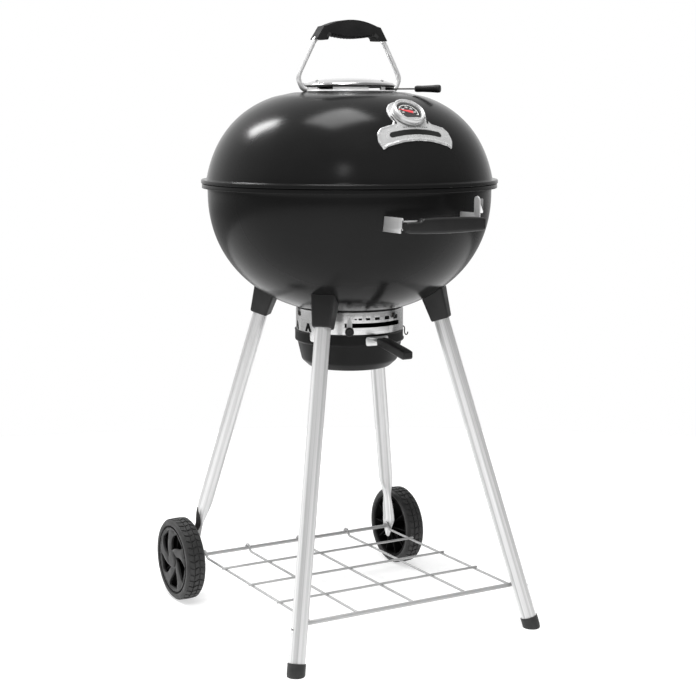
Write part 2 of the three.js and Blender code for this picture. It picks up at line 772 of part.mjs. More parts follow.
function bail() {
  const { r, topX, topZ, wideX, wideZ, footX } = BAIL;
  const leftLeg = [
    vec(-footX, 0, LID_FLAT_Z + r + GAP),
    vec(-footX - 8, 0, LID_FLAT_Z + r + 2.5),
    vec(-wideX + 4, 0, wideZ - 10),
    vec(-wideX, 0, wideZ + 4),
    vec(-wideX + 7, 0, wideZ + 22),
    vec(-topX - 3, 0, topZ - 8),
    vec(-topX + 1, 0, topZ),
    vec(-topX + 13, 0, topZ + 13),
    vec(-50, 0, topZ + 20),
    vec(0, 0, topZ + 23),
  ];
  const rightLeg = leftLeg.slice(0, -1).reverse().map((p) => vec(-p.x, p.y, p.z));
  return wire([...leftLeg, ...rightLeg], r, 40, 6);
}
piece("bail_wire", bail(), CHROME);

// Hoop round the back of the vent that ties the two sides of the handle together. Its ends swing
// out to the handle's wire.
function bailHoop() {
  const reach = BAIL.wideX - 4.5;
  const start = THREE.MathUtils.radToDeg(Math.asin((BAIL.r + GAP) / reach));
  const count = 14;
  const points = Array.from({ length: count + 1 }, (_, i) => {
    const angle = start + ((180 - 2 * start) * i) / count;
    const away = Math.min(angle, 180 - angle) - start;
    const flare = Math.max(0, 1 - away / HOOP.blend) ** 2;
    return polar(HOOP.r + (reach - HOOP.r) * flare, angle, HOOP.z);
  });
  return wire(points, HOOP.wire, 20, 6);
}
piece("bail_hoop", bailHoop(), CHROME);

function bailGrip() {
  const arch = (x) => 1247 - 14 * (x / 66) ** 2;
  const top = [-66, -45, -25, 0, 25, 45, 66].map((x) => [x, arch(x)]);
  const belly = [46, 30, 15, 0, -15, -30, -46].map((x) => [x, 1212 + 5.5 * (x / 46) ** 2]);
  const leftEnd = [[-54, 1213], [-57, 1206], [-84, 1206]];
  const rightEnd = [[84, 1206], [57, 1206], [54, 1213]];
  const side = plate([...leftEnd, ...top, ...rightEnd, ...belly], -14, 14);
  const half = [[83, 1201], [79, 1209], [67, 1222], [50, 1229]].map(([x, z]) => vec(x, 0, z));
  const mirrored = half.map((p) => vec(-p.x, 0, p.z));
  const channel = wire([...mirrored, vec(0, 0, 1232), ...half.reverse()], BAIL.r + 1.2, 24, 8);
  return solid(upright(side)).subtract(solid(channel));
}
piece("bail_grip", bailGrip(), BLACK_PLASTIC);

// ---------------------------------------------------------------- thermometer

const GAUGE = { r: 33, head: 42, plate: 2.5, depth: 14 };
const NEEDLE_REST = 72; // degrees to the left of straight up

// The thermometer's frame: x to the right, y up the lid, z square to it.
const gaugeFrame = new THREE.Matrix4()
  .makeBasis(vec(1, 0, 0), gaugeNormal.clone().cross(vec(1, 0, 0)), gaugeNormal)
  .setPosition(gaugeFoot);

// A point of the lid's section at radius r, raised square to the surface.
function raised(r, lift) {
  const normal = lidNormal(r);
  return [r - normal.y * lift, dome(r) + normal.z * lift];
}

// Badge plate: a round head above a banner, cut from a skin that follows the lid.
function badge() {
  const radii = [165, 188, 210, 230, 248, 264, 278, 288];
  const low = radii.map((r) => raised(r, 1));
  const high = radii.map((r) => raised(r, 1 + GAUGE.plate)).reverse();
  const skin = turned([...low, ...high], 72);
  const half = [
    [38, -14],
    [44, -25],
    [70, -29],
    [80, -38],
    [82, -58],
    [75, -74],
    [66, -68],
    [34, -65],
  ];
  const otherHalf = half.map(([x, y]) => [-x, y]).reverse();
  const banner = plate([...half, [0, -63.5], ...otherHalf], -40, 30);
  const head = new THREE.CylinderGeometry(GAUGE.head, GAUGE.head, 70, 28).rotateX(Math.PI / 2);
  const stencil = join([banner, head].map((geometry) => solid(geometry.applyMatrix4(gaugeFrame))));
  const stemHole = solid(bar(onGauge(-20), onGauge(20), PROBE.hole));
  return skin.intersect(stencil).subtract(stemHole);
}
piece("badge_plate", badge(), CHROME);

// A body of revolution about the thermometer's own axis, which stands square to the lid.
function gaugeTurned(points, segments = 32) {
  return turned(points, segments).transform(gaugeFrame.elements);
}

const { r: gaugeR, depth: gaugeDepth } = GAUGE;
const rimWidth = 8;
const bezel = gaugeTurned([
  [0, 5],
  [gaugeR, 5],
  [gaugeR, gaugeDepth - 2],
  [gaugeR - 3, gaugeDepth],
  [gaugeR - 6, gaugeDepth],
  [gaugeR - rimWidth, gaugeDepth - 3],
  [gaugeR - rimWidth, 7],
  [0, 7],
]);
const STEM_R = 2.5;
const stemBore = gaugeTurned([[0, 0], [STEM_R + 0.5, 0], [STEM_R + 0.5, 10], [0, 10]], 12);
piece("thermometer_bezel", bezel.subtract(stemBore), CHROME);

const dialR = gaugeR - rimWidth - GAP;
piece("thermometer_dial", gaugeTurned([[2.2, 7.3], [dialR, 7.3], [dialR, 8], [2.2, 8]]), DIAL_BLACK);
piece("thermometer_lens", gaugeTurned([[0, 10.6], [dialR, 10.6], [dialR, 11.6], [0, 12.4]]), GLASS);
piece("thermometer_stem", gaugeTurned([[0, -60], [STEM_R, -60], [STEM_R, 6.8], [0, 6.8]], 12), SATIN_STEEL);

// Needle: a tapered pointer with a short tail on a round boss.
function needle() {
  const pointer = plate([[-2.2, 0], [0, 22], [2.2, 0], [1.6, -8], [-1.6, -8]], 9, 9.8);
  const boss = new THREE.CylinderGeometry(3.5, 3.5, 1.6, 16).rotateX(Math.PI / 2).translate(0, 0, 9.4);
  return join([pointer, boss].map((g) => solid(g.rotateZ(radians(NEEDLE_REST)).applyMatrix4(gaugeFrame))));
}
piece("thermometer_needle", needle(), NEEDLE_RED);

export default group;
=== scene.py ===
"""The looks of the kettle charcoal grill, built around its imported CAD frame.

Shapes are given in millimetres about the kettle's own axis, with the front along -Y, and
add() puts them into the shared frame in metres.
"""

import math

import bmesh
import bpy
from mathutils import Matrix, Vector, geometry


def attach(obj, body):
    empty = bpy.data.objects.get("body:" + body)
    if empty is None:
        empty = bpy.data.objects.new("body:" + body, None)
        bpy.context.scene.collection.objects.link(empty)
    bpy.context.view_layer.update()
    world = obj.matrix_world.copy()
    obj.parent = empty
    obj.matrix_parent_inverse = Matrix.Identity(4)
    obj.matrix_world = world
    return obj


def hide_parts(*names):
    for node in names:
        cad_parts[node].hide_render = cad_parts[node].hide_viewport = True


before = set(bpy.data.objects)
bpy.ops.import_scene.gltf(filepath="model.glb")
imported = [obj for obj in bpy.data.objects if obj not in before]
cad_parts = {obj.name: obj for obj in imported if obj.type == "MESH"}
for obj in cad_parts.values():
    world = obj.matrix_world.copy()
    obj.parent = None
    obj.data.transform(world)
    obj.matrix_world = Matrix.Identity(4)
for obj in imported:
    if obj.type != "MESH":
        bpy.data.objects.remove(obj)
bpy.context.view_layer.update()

MM = 0.001
AXIS_Y = 9.8
SHARED = Matrix.Scale(MM, 4) @ Matrix.Translation((0, AXIS_Y, 0))

# Outlines of bowl and lid: (r / a)^n + (height / b)^n = 1, measured from the level z.
BOWL = {"a": 291.9, "b": 252.0, "n": 2.177, "z": 901.8}
LID = {"a": 301.1, "b": 290.3, "n": 2.719, "z": 822.0}
SHEET = 2.0
RIM_Z = 919.0
GAP = 0.4
LID_FLAT_Z = 1102.0
KETTLE_TOP_Z = 925.0
QUARTERS = (0, 90, 180, 270)


# ---------------- points and outlines

def polar(r, degrees, z=0.0):
    angle = math.radians(degrees)
    return Vector((r * math.cos(angle), r * math.sin(angle), z))


def outline(shell, side, inset, start, end, steps):
    """Points of a bowl or lid outline from the axis (0) to its widest level (1)."""
    points = []
    for i in range(steps + 1):
        angle = (start + (end - start) * i / steps) * math.pi / 2
        r = (shell["a"] - inset) * math.sin(angle) ** (2 / shell["n"])
        height = (shell["b"] - inset) * abs(math.cos(angle)) ** (2 / shell["n"])
        points.append((r, shell["z"] + side * height))
    return points


def dome(r):
    return LID["z"] + LID["b"] * (1 - (abs(r) / LID["a"]) ** LID["n"]) ** (1 / LID["n"])


def fillet(points, radius, steps=4, closed=True):
    """The outline with its corners rounded; a corner's own radius may follow its two coordinates."""
    found = []
    count = len(points)
    for i, point in enumerate(points):
        here = Vector(point[:2])
        wanted = point[2] if len(point) > 2 else radius
        if (not closed and i in (0, count - 1)) or wanted <= 0:
            found.append(tuple(here))
            continue
        before = Vector(points[i - 1][:2]) - here
        after = Vector(points[(i + 1) % count][:2]) - here
        if before.length < 1e-6 or after.length < 1e-6:
            continue
        half = before.angle(after) / 2
        if half > math.radians(89):
            found.append(tuple(here))
            continue
        reach = min(wanted / math.tan(half), before.length * 0.49, after.length * 0.49)
        a = here + before.normalized() * reach
        b = here + after.normalized() * reach
        for k in range(steps + 1):
            t = k / steps
            found.append(tuple(a.lerp(here, t).lerp(here.lerp(b, t), t)))
    return found


def spline(points, steps):
    """A smooth curve through the points, with that many stretches between each two."""
    points = [Vector(p) for p in points]
    ends = [2 * points[0] - points[1], *points, 2 * points[-1] - points[-2]]
    found = []
    for i in range(1, len(ends) - 2):
        a, b, c, d = ends[i - 1:i + 3]
        for k in range(steps):
            t = k / steps
            found.append(0.5 * (2 * b + (c - a) * t + (2 * a - 5 * b + 4 * c - d) * t ** 2
                                + (3 * b - a - 3 * c + d) * t ** 3))
    found.append(points[-1])
    return found


def rectangle(x0, y0, x1, y1):
    return [(x0, y0), (x1, y0), (x1, y1), (x0, y1)]


# ---------------- solids as (vertices, faces)

def lathe(profile, segments=128):
    """A body of revolution about Z. Points on the axis become one vertex."""
    vertices, faces, rows = [], [], []
    for r, z in profile:
        if abs(r) < 1e-6:
            rows.append([len(vertices)] * segments)
            vertices.append(Vector((0, 0, z)))
        else:
            rows.append(list(range(len(vertices), len(vertices) + segments)))
            vertices += [polar(r, 360 * i / segments, z) for i in range(segments)]
    on_axis = abs(profile[0][0]) < 1e-6 and abs(profile[-1][0]) < 1e-6
    pairs = list(zip(rows, rows[1:]))
    if not on_axis:
        pairs.append((rows[-1], rows[0]))
    for low, high in pairs:
        for i in range(segments):
            j = (i + 1) % segments
            corners = []
            for corner in (low[i], low[j], high[j], high[i]):
                if corner not in corners:
                    corners.append(corner)
            if len(corners) > 2:
                faces.append(corners)
    return vertices, faces


def spun(profile, radius, steps, segments, closed=False):
    """A body of revolution whose outline has its corners rounded."""
    return lathe(fillet(profile, radius, steps, closed), segments)


def loft(rings, closed=False):
    """Skin over rings of points with the same count each."""
    count = len(rings[0])
    vertices = [Vector(p) for ring in rings for p in ring]
    faces = []
    total = len(rings)
    for k in range(total if closed else total - 1):
        a, b = k * count, ((k + 1) % total) * count
        for i in range(count):
            j = (i + 1) % count
            faces.append([a + i, a + j, b + j, b + i])
    if not closed:
        faces.append(list(range(count))[::-1])
        faces.append(list(range((total - 1) * count, total * count)))
    return vertices, faces


def sweep(path, radius, sides=14, closed=False):
    """A wire along a path. The radius may be a list, one value for each point of the path."""
    path = [Vector(p) for p in path]
    count = len(path)
    tangents = []
    for i in range(count):
        before = path[i - 1] if closed or i else path[0]
        after = path[(i + 1) % count] if closed or i < count - 1 else path[-1]
        tangents.append((after - before).normalized())
    side = tangents[0].orthogonal().normalized()
    rings = []
    for i, point in enumerate(path):
        side = (side - tangents[i] * side.dot(tangents[i])).normalized()
        up = tangents[i].cross(side)
        r = radius[i] if isinstance(radius, (list, tuple)) else radius
        ring = []
        for k in range(sides):
            angle = 2 * math.pi * k / sides
            ring.append(point + side * (r * math.cos(angle)) + up * (r * math.sin(angle)))
        rings.append(ring)
    return loft(rings, closed=closed)


def rod(a, b, radius, sides=14, end=0.6):
    """A straight round bar with its ends slightly rounded."""
    a, b = Vector(a), Vector(b)
    along = (b - a).normalized()
    path = [a, a + along * end, b - along * end, b]
    return sweep(path, [radius - end, radius, radius, radius - end], sides)


def prism(points, low, high):
    count = len(points)
    vertices = [Vector((x, y, low)) for x, y in points] + [Vector((x, y, high)) for x, y in points]
    faces = [list(range(count))[::-1], list(range(count, 2 * count))]
    for i in range(count):
        j = (i + 1) % count
        faces.append([i, j, count + j, count + i])
    return vertices, faces


def block(low, high):
    return prism(rectangle(low[0], low[1], high[0], high[1]), low[2], high[2])


def sector(inner, outer, start, end, low, high, steps=8):
    angles = [start + (end - start) * i / steps for i in range(steps + 1)]
    points = [polar(outer, a)[:2] for a in angles] + [polar(inner, a)[:2] for a in reversed(angles)]
    return prism(points, low, high)


def moved(solid, matrix):
    return [matrix @ v for v in solid[0]], solid[1]


def join(*solids):
    vertices, faces = [], []
    for solid in solids:
        start = len(vertices)
        vertices += solid[0]
        faces += [[start + i for i in face] for face in solid[1]]
    return vertices, faces


def turn(degrees, axis="Z"):
    return Matrix.Rotation(math.radians(degrees), 4, axis)


def frame_of(x, y, z, origin):
    return Matrix.Translation(origin) @ Matrix((x, y, z)).transposed().to_4x4()


# Frame of a shape drawn as seen from the side: its x is the radius, its y is the height.
SIDE_VIEW = frame_of((1, 0, 0), (0, 0, 1), (0, -1, 0), (0, 0, 0))
# Frame of a shape drawn face on, which then looks along +X.
FACE_ON = frame_of((0, 1, 0), (0, 0, 1), (1, 0, 0), (0, 0, 0))


def inside(x, y, polygon):
    found = False
    for i, (ax, ay) in enumerate(polygon):
        bx, by = polygon[i - 1]
        if (ay > y) != (by > y) and x < (bx - ax) * (y - ay) / (by - ay) + ax:
            found = not found
    return found


def edge_distance(x, y, polygon):
    best = 1e9
    for i, (ax, ay) in enumerate(polygon):
        bx, by = polygon[i - 1]
        dx, dy = bx - ax, by - ay
        t = max(0, min(1, ((x - ax) * dx + (y - ay) * dy) / (dx * dx + dy * dy + 1e-12)))
        best = min(best, math.hypot(x - ax - t * dx, y - ay - t * dy))
    return best


def panel(border, holes, step, top, bottom):
    """A sheet with holes between two height functions of (x, y), with a wall round each edge."""
    loops = [border, *holes]
    points, edges = [], []
    for loop in loops:
        start = len(points)
        points += [Vector(p) for p in loop]
        edges += [(start + i, start + (i + 1) % len(loop)) for i in range(len(loop))]
    xs, ys = [p[0] for p in border], [p[1] for p in border]
    x = min(xs) + step / 2
    row = 0
    while x < max(xs):
        y = min(ys) + step * (0.5 if row % 2 else 0.25)
        while y < max(ys):
            clear = inside(x, y, border) and not any(inside(x, y, h) for h in holes)
            if clear and min(edge_distance(x, y, loop) for loop in loops) > step * 0.45:
                points.append(Vector((x, y)))
            y += step
        x += step
        row += 1
    made = geometry.delaunay_2d_cdt(points, edges, [], 1, 1e-6)
    flat, faces = made[0], made[2]
    kept = []
    for face in faces:
        cx = sum(flat[i][0] for i in face) / 3
        cy = sum(flat[i][1] for i in face) / 3
        if inside(cx, cy, border) and not any(inside(cx, cy, hole) for hole in holes):
            kept.append(face)
    count = len(flat)
    vertices = [Vector((*p, top(*p))) for p in flat] + [Vector((*p, bottom(*p))) for p in flat]
    solid = [list(face) for face in kept] + [[count + i for i in face][::-1] for face in kept]
    seen = {}
    for face in kept:
        for i in range(3):
            a, b = face[i], face[(i + 1) % 3]
            seen[(a, b)] = True
    for a, b in seen:
        if (b, a) not in seen:
            solid.append([b, a, count + a, count + b])
    return vertices, solid


# ---------------- from solids to Blender pieces

def mesh_of(solid):
    mesh = bpy.data.meshes.new("solid")
    mesh.from_pydata([tuple(v) for v in solid[0]], [], solid[1])
    bm = bmesh.new()
    bm.from_mesh(mesh)
    bmesh.ops.remove_doubles(bm, verts=bm.verts, dist=1e-4)
    loose = [v for v in bm.verts if not v.link_faces]
    bmesh.ops.delete(bm, geom=loose, context="VERTS")
    bmesh.ops.recalc_face_normals(bm, faces=bm.faces)
    bm.to_mesh(mesh)
    bm.free()
    return mesh


def cut_mesh(mesh, cutters):
    body = bpy.data.objects.new("body", mesh)
    bpy.context.scene.collection.objects.link(body)
    tools = []
    for cutter in cutters:
        tool = bpy.data.objects.new("tool", mesh_of(cutter))
        bpy.context.scene.collection.objects.link(tool)
        tools.append(tool)
        step = body.modifiers.new("cut", "BOOLEAN")
        step.operation = "DIFFERENCE"
        step.solver = "EXACT"
        step.object = tool
    bpy.context.view_layer.update()
    made = bpy.data.meshes.new_from_object(body.evaluated_get(bpy.context.evaluated_depsgraph_get()))
    for thing in [body, *tools]:
        bpy.data.objects.remove(thing)
    return made


def bevelled(mesh, width, steps, limit):
    bm = bmesh.new()
    bm.from_mesh(mesh)
    bmesh.ops.dissolve_limit(bm, angle_limit=math.radians(0.5), verts=bm.verts, edges=bm.edges)
    sharp = [e for e in bm.edges if len(e.link_faces) == 2 and e.calc_face_angle(0) > math.radians(limit)]
    bmesh.ops.bevel(
        bm, geom=sharp, offset=width, segments=steps, profile=0.5, affect="EDGES", clamp_overlap=True
    )
    bm.to_mesh(mesh)
    bm.free()
    return mesh


def add(name, solid, finish, body, replaces=(), cuts=(), bevel=0, steps=2, limit=40, smooth=35, place=None):
    """One named piece on a CAD body, from a solid in millimetres and a finish: a material and its slot; the
    slot is not used.
    """
    material, slot = finish
    mesh = mesh_of(solid)
    if cuts:
        mesh = cut_mesh(mesh, cuts)
    if bevel:
        mesh = bevelled(mesh, bevel, steps, limit)
    mesh.transform(SHARED @ place if place else SHARED)
    mesh.shade_smooth()
    mesh.set_sharp_from_angle(angle=math.radians(smooth))
    mesh.name = name
    obj = bpy.data.objects.new(name, mesh)
    bpy.context.scene.collection.objects.link(obj)
    obj.data.materials.clear()
    obj.data.materials.append(material)
    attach(obj, body)
    if replaces:
        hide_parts(*replaces)
    return obj


# ---------------- materials

SOCKETS = {"base": "Base Color", "metal": "Metallic", "ior": "IOR", "alpha": "Alpha", "sheen": "Sheen Weight",
           "specular": "Specular IOR Level", "glow": "Emission Color", "glow_strength": "Emission Strength"}


def node(tree, kind, inputs, **settings):
    """A new node. Each input is set to its value, or linked where that is another node's output."""
    made = tree.nodes.new("ShaderNode" + kind)
    for key, value in settings.items():
        setattr(made, key, value)
    for key, value in inputs.items():
        if isinstance(value, bpy.types.NodeSocket):
            tree.links.new(value, made.inputs[key])
        else:
            made.inputs[key].default_value = value
    return made


class Nodes:
    """A material under construction, with textures that follow the object's own coordinates."""

    def __init__(self, name, **values):
        self.material = bpy.data.materials.new(name)
        self.material.use_nodes = True
        self.tree = self.material.node_tree
        self.shader = self.tree.nodes["Principled BSDF"]
        self.place = node(self.tree, "TexCoord", {}).outputs["Object"]
        for key, value in values.items():
            self.shader.inputs[SOCKETS[key]].default_value = value

    def stretched(self, scale):
        return node(self.tree, "Mapping", {"Scale": scale, "Vector": self.place}).outputs["Vector"]

    def turned(self, angles):
        """Lets every later texture follow a part that leans, given its rotation."""
        made = node(self.tree, "Mapping", {"Rotation": angles, "Vector": self.place}, vector_type="TEXTURE")
        self.place = made.outputs["Vector"]

    def noise(self, scale, detail=3.0, rough=0.5, stretch=None):
        place = self.stretched(stretch) if stretch else self.place
        inputs = {"Scale": scale, "Detail": detail, "Roughness": rough, "Vector": place}
        return node(self.tree, "TexNoise", inputs).outputs["Fac"]

    def cells(self, scale):
        return node(self.tree, "TexVoronoi", {"Scale": scale, "Vector": self.place}).outputs["Distance"]

    def ranged(self, value, low, high, start=0.3, end=0.7):
        inputs = {"From Min": start, "From Max": end, "To Min": low, "To Max": high, "Value": value}
        return node(self.tree, "MapRange", inputs).outputs["Result"]

    def colours(self, value, low, high, start=0.3, end=0.7):
        made = node(self.tree, "ValToRGB", {"Fac": value})
        for element, position, colour in zip(made.color_ramp.elements, (start, end), (low, high)):
            element.position = position
            element.color = (*colour, 1) if isinstance(colour, tuple) else (colour, colour, colour, 1)
        return made.outputs["Color"]

    def mixed(self, amount, a, b):
        inputs = {"Factor": amount, "A": (*a, 1), "B": (*b, 1)}
        return node(self.tree, "Mix", inputs, data_type="RGBA").outputs["Result"]

    def finished(self, base, rough, *bumps):
        """The material itself. A bump is (height output, distance in millimetres, strength)."""
        inputs = {}
        for height, distance, strength in bumps:
            inputs.update({"Distance": distance * MM, "Strength": strength, "Height": height})
            inputs["Normal"] = node(self.tree, "Bump", inputs).outputs["Normal"]
        for key, output in (("Base Color", base), ("Roughness", rough), ("Normal", inputs.get("Normal"))):
            if output:
                self.tree.links.new(output, self.shader.inputs[key])
        return self.material


def enamel(name="enamel", shade=0.0088, rough=(0.17, 0.23)):
    n = Nodes(name, ior=1.23)
    return n.finished(n.colours(n.noise(6, 4), 0.85 * shade, 1.15 * shade),
                      n.ranged(n.noise(14, 5, 0.6), *rough), (n.noise(240, 2), 0.04, 0.06),
                      (n.noise(1500, 2), 0.02, 0.05))


def plastic(name="black_plastic", shade=0.010, rough=(0.38, 0.52), grain=900, ior=1.4):
    n = Nodes(name, ior=ior)
    return n.finished(n.colours(n.noise(35, 4), shade * 0.85, shade * 1.15), n.ranged(n.noise(60, 4), *rough),
                      (n.cells(grain), 0.12, 0.18), (n.noise(grain * 3, 2), 0.03, 0.15))


def rubber():
    n = Nodes("rubber", ior=1.45, sheen=0.04)
    return n.finished(n.colours(n.noise(45, 5), 0.02, 0.032), n.ranged(n.noise(80, 4), 0.5, 0.7),
                      (n.noise(700, 4), 0.12, 0.2), (n.noise(60, 2), 0.2, 0.1))


def steel(name, shade, rough, streak=(1, 1, 0.03), grain=700, metal=1.0, depth=0.008, tint=1.0):
    """Steel with fine streaks that run along the axis whose scale is small."""
    n = Nodes(name, metal=metal)
    low, high = [(level, level, level * tint) for level in (shade * 0.93, shade)]
    return n.finished(n.colours(n.noise(grain, 3, 0.6, streak), low, high),
                      n.ranged(n.noise(grain * 0.7, 3, 0.6, streak), *rough),
                      (n.noise(grain * 1.6, 2, 0.6, streak), depth, 0.25), (n.noise(9, 2), 0.2, 0.03))


def leg_steel(name, angles):
    """Drawn tube with lighter and darker streaks along its length."""
    n = Nodes(name, metal=0.42)
    n.turned(angles)
    return n.finished(n.colours(n.noise(150, 4, 0.62, (1, 1, 0.004)), 0.5, 0.86, 0.36, 0.64),
                      n.ranged(n.noise(600, 3, 0.6, (1, 1, 0.02)), 0.32, 0.44),
                      (n.noise(900, 3, 0.6, (1, 1, 0.03)), 0.01, 0.25))


def chrome(name="chrome", shade=0.86, rough=(0.05, 0.12)):
    n = Nodes(name, metal=1.0)
    return n.finished(n.colours(n.noise(22, 4), shade * 0.95, shade), n.ranged(n.noise(55, 5, 0.65), *rough),
                      (n.noise(26, 2), 0.12, 0.04), (n.noise(900, 2), 0.006, 0.1))


def blackened(name="dark_steel"):
    n = Nodes(name, metal=0.75)
    stain = n.ranged(n.noise(40, 6, 0.65), 0, 1, 0.5, 0.72)
    return n.finished(n.mixed(stain, (0.035, 0.034, 0.034), (0.075, 0.06, 0.05)),
                      n.ranged(n.noise(120, 4), 0.4, 0.7), (n.noise(420, 4), 0.12, 0.3))


def printed(name, colour, rough=(0.35, 0.5), specular=0.5):
    n = Nodes(name, ior=1.45, specular=specular)
    darker = tuple(c * 0.88 for c in colour)
    return n.finished(n.colours(n.noise(300, 3), darker, colour), n.ranged(n.noise(500, 3), *rough),
                      (n.noise(1800, 2), 0.01, 0.15))


def glass():
    n = Nodes("lens_glass", base=(0.9, 0.9, 0.9, 1), ior=1.15, alpha=0.02, specular=0.05)
    return n.finished(None, n.ranged(n.noise(60, 3), 0.05, 0.1), (n.noise(30, 2), 0.05, 0.05))


ENAMEL = enamel(), "enamel"
POT_ENAMEL = enamel("pot_enamel", 0.0075, (0.34, 0.46)), "enamel"
PLASTIC = plastic(), "black_plastic"
SOCKET_PLASTIC = plastic("socket_plastic", 0.010, (0.42, 0.56), 650), "black_plastic"
WHEEL_PLASTIC = plastic("wheel_plastic", 0.027, (0.42, 0.56), 700), "black_plastic"
# Painted shade: the wheel plastic made near black for the wheel's inner drum, hub and ribs, and reused for
# dark sheets that stand in for shade elsewhere.
PAINTED_SHADE_PLASTIC = plastic("painted_shade_plastic", 0.004, (0.6, 0.75), 700, 1.2), "black_plastic"
SHADOW = PAINTED_SHADE_PLASTIC[0], "dark_steel"
# The gasket under the vent's flange, and the painted shadow under the vent's cap.
GASKET_AND_SHADOW = PAINTED_SHADE_PLASTIC[0], "rubber"
RUBBER = rubber(), "rubber"
GRIP_INLAY = RUBBER[0], "black_plastic"
CHROME = chrome(), "chrome"
CAP_CHROME = chrome("cap_chrome", 0.70, (0.1, 0.18)), "chrome"
BAIL_STEEL = steel("bail_steel", 0.85, (0.26, 0.36), (1, 1, 1), 300, 0.5), "chrome"
BAND_STEEL = steel("band_steel", 0.80, (0.14, 0.24), (0.05, 0.05, 1), 500, 0.85), "chrome"
STRAP_STEEL = steel("strap_steel", 0.80, (0.3, 0.42), (0.04, 0.04, 1), 600, 0.6), "satin_steel"
COLLAR_STEEL = steel("collar_steel", 0.80, (0.2, 0.3), (0.05, 0.05, 1), 400, 0.35), "chrome"
WIRE_STEEL = steel("wire_steel", 0.46, (0.4, 0.5), (1, 1, 1), 60, 0.35, 0.001), "satin_steel"
BADGE_STEEL = steel("badge_steel", 0.66, (0.2, 0.3), (1, 1, 1), 120, 0.55), "chrome"
GRIP_PLASTIC = plastic("grip_plastic", 0.015, (0.55, 0.7), 900, 1.25), "black_plastic"
GRATE_STEEL = steel("grate_steel", 0.58, (0.22, 0.4), (1, 1, 1), 180, tint=0.97), "satin_steel"
DARK_STEEL = blackened(), "dark_steel"
# Painted shade: blackened steel for a sheet that stands in for the shade in a pressed hollow.
PAINTED_SHADE_FINISH = DARK_STEEL[0], "satin_steel"
DIAL_FACE = printed("dial_face", (0.006, 0.006, 0.0065), specular=0.05), "dial"
WHITE_PRINT = printed("dial_print", (0.86, 0.86, 0.84)), "dial"
RED_PAINT = printed("needle_paint", (0.62, 0.02, 0.03), (0.25, 0.35)), "needle"
GLASS = glass(), "lens"


# ---------------- bowl

VENT_SLOT = {"in": 38, "out": 86, "half": 13}
LIP_R = 303.5


def kettle_space(gap):
    """The bowl and all that it holds, grown by the gap."""
    top = [(BOWL["a"] + 2, KETTLE_TOP_Z), (0, KETTLE_TOP_Z)]
    return lathe(outline(BOWL, -1, -gap, 0, 1, 56) + top, 192)


def bowl():
    top = RIM_Z - GAP
    outer = outline(BOWL, -1, 0, 0, 1, 56)
    inner = outline(BOWL, -1, SHEET, 0, 1, 56)[::-1]
    edge = [(BOWL["a"] + 0.4, 908, 0), (BOWL["a"] + 2, top - SHEET, 2.5), (LIP_R - SHEET, top - SHEET, 1.5),
            (LIP_R - SHEET, top - 9, 0.8), (LIP_R, top - 9, 0.8), (LIP_R, top, 2.6),
            (BOWL["a"] + 2 - SHEET, top, 2.6), (BOWL["a"] - SHEET, 906, 0)]
    rounded = fillet(edge, 1, 5, closed=False)
    half = VENT_SLOT["half"]
    slots = [sector(VENT_SLOT["in"], VENT_SLOT["out"], angle - half, angle + half, 640, 680)
             for angle in QUARTERS]
    shaft = rod((0, 0, 640), (0, 0, 660), 7, 32)
    add("bowl_shell", lathe(outer + rounded + inner, 192), ENAMEL, "frame", ["bowl"], cuts=[*slots, shaft],
        smooth=32)


def ledges():
    for i, angle in enumerate((45, 135, 225, 315)):
        arm = fillet([(271, 878), (284.5, 878), (284.5, 856), (282, 856), (281, 875.2, 3), (271, 875.2)], 0.8)
        solid = moved(prism(arm, -9, 9), turn(angle) @ SIDE_VIEW)
        add(f"ledge_{i + 1}", solid, GRATE_STEEL, "frame", [f"grate_ledge_{i + 1}"], bevel=0.4)


# ---------------- legs

LEG_R = 16.0
LEG_FOOT = (278.4, 280.6)
LEG_LEAN = (0.217, 0.222)
CORNERS = [("front_left", -1, -1), ("front_right", 1, -1), ("rear_left", -1, 1), ("rear_right", 1, 1)]
AXLE_Y, AXLE_Z = 260.4, 90.0


def on_leg(sx, sy, z):
    return Vector((sx * (LEG_FOOT[0] - LEG_LEAN[0] * z), sy * (LEG_FOOT[1] - LEG_LEAN[1] * z), z))


def leg_frame(sx, sy):
    """z along the leg from the floor, x outwards to the side."""
    along = (on_leg(sx, sy, 1) - on_leg(sx, sy, 0)).normalized()
    side = Vector((sx, 0, 0))
    side = (side - along * side.dot(along)).normalized()
    return frame_of(side, along.cross(side), along, on_leg(sx, sy, 0))


def tube(low, high, r=LEG_R, wall=1.5, sides=64):
    profile = [(r - wall, low), (r - 0.4, low), (r, low + 0.4), (r, high), (r - wall, high)]
    return lathe(profile, sides)


def socket(name, sx, sy):
    """Moulded socket: a tapered block with rounded corners that meets the bowl."""
    along = (on_leg(sx, sy, 1) - on_leg(sx, sy, 0)).normalized()
    out = Vector((sx, sy, 0)).normalized()
    out = (out - along * out.dot(along)).normalized()
    across = along.cross(out)
    rings = []
    for z, half in ((642, 17.2), (642.9, 18.2), (644.5, 18.9), (700, 24.6), (760, 31)):
        centre = on_leg(sx, sy, z)
        corner = half * 0.3
        square = rectangle(half, half, -half, -half)
        rings.append([centre + out * x + across * y for x, y in fillet(square, corner, 6)])
    bore = moved(lathe(rectangle(0, 600, 16.3, 705), 64), leg_frame(sx, sy))
    add(f"socket_{name}", loft(rings), SOCKET_PLASTIC, "frame", [f"leg_socket_{name}"],
        cuts=[bore, kettle_space(0.5)], smooth=28)


def bolt_head(centre, direction, r=4.5, height=3.0, washer=7.0):
    """A pan head on a washer, as a solid pointing in a direction."""
    z = Vector(direction).normalized()
    x = z.orthogonal().normalized()
    head = spun([(0, 0), (washer, 0), (washer, 1), (r, 1, 0), (r, height * 0.7), (r * 0.55, height),
                 (0, height)], 0.5, 3, 28)
    return moved(head, frame_of(x, z.cross(x), z, centre))


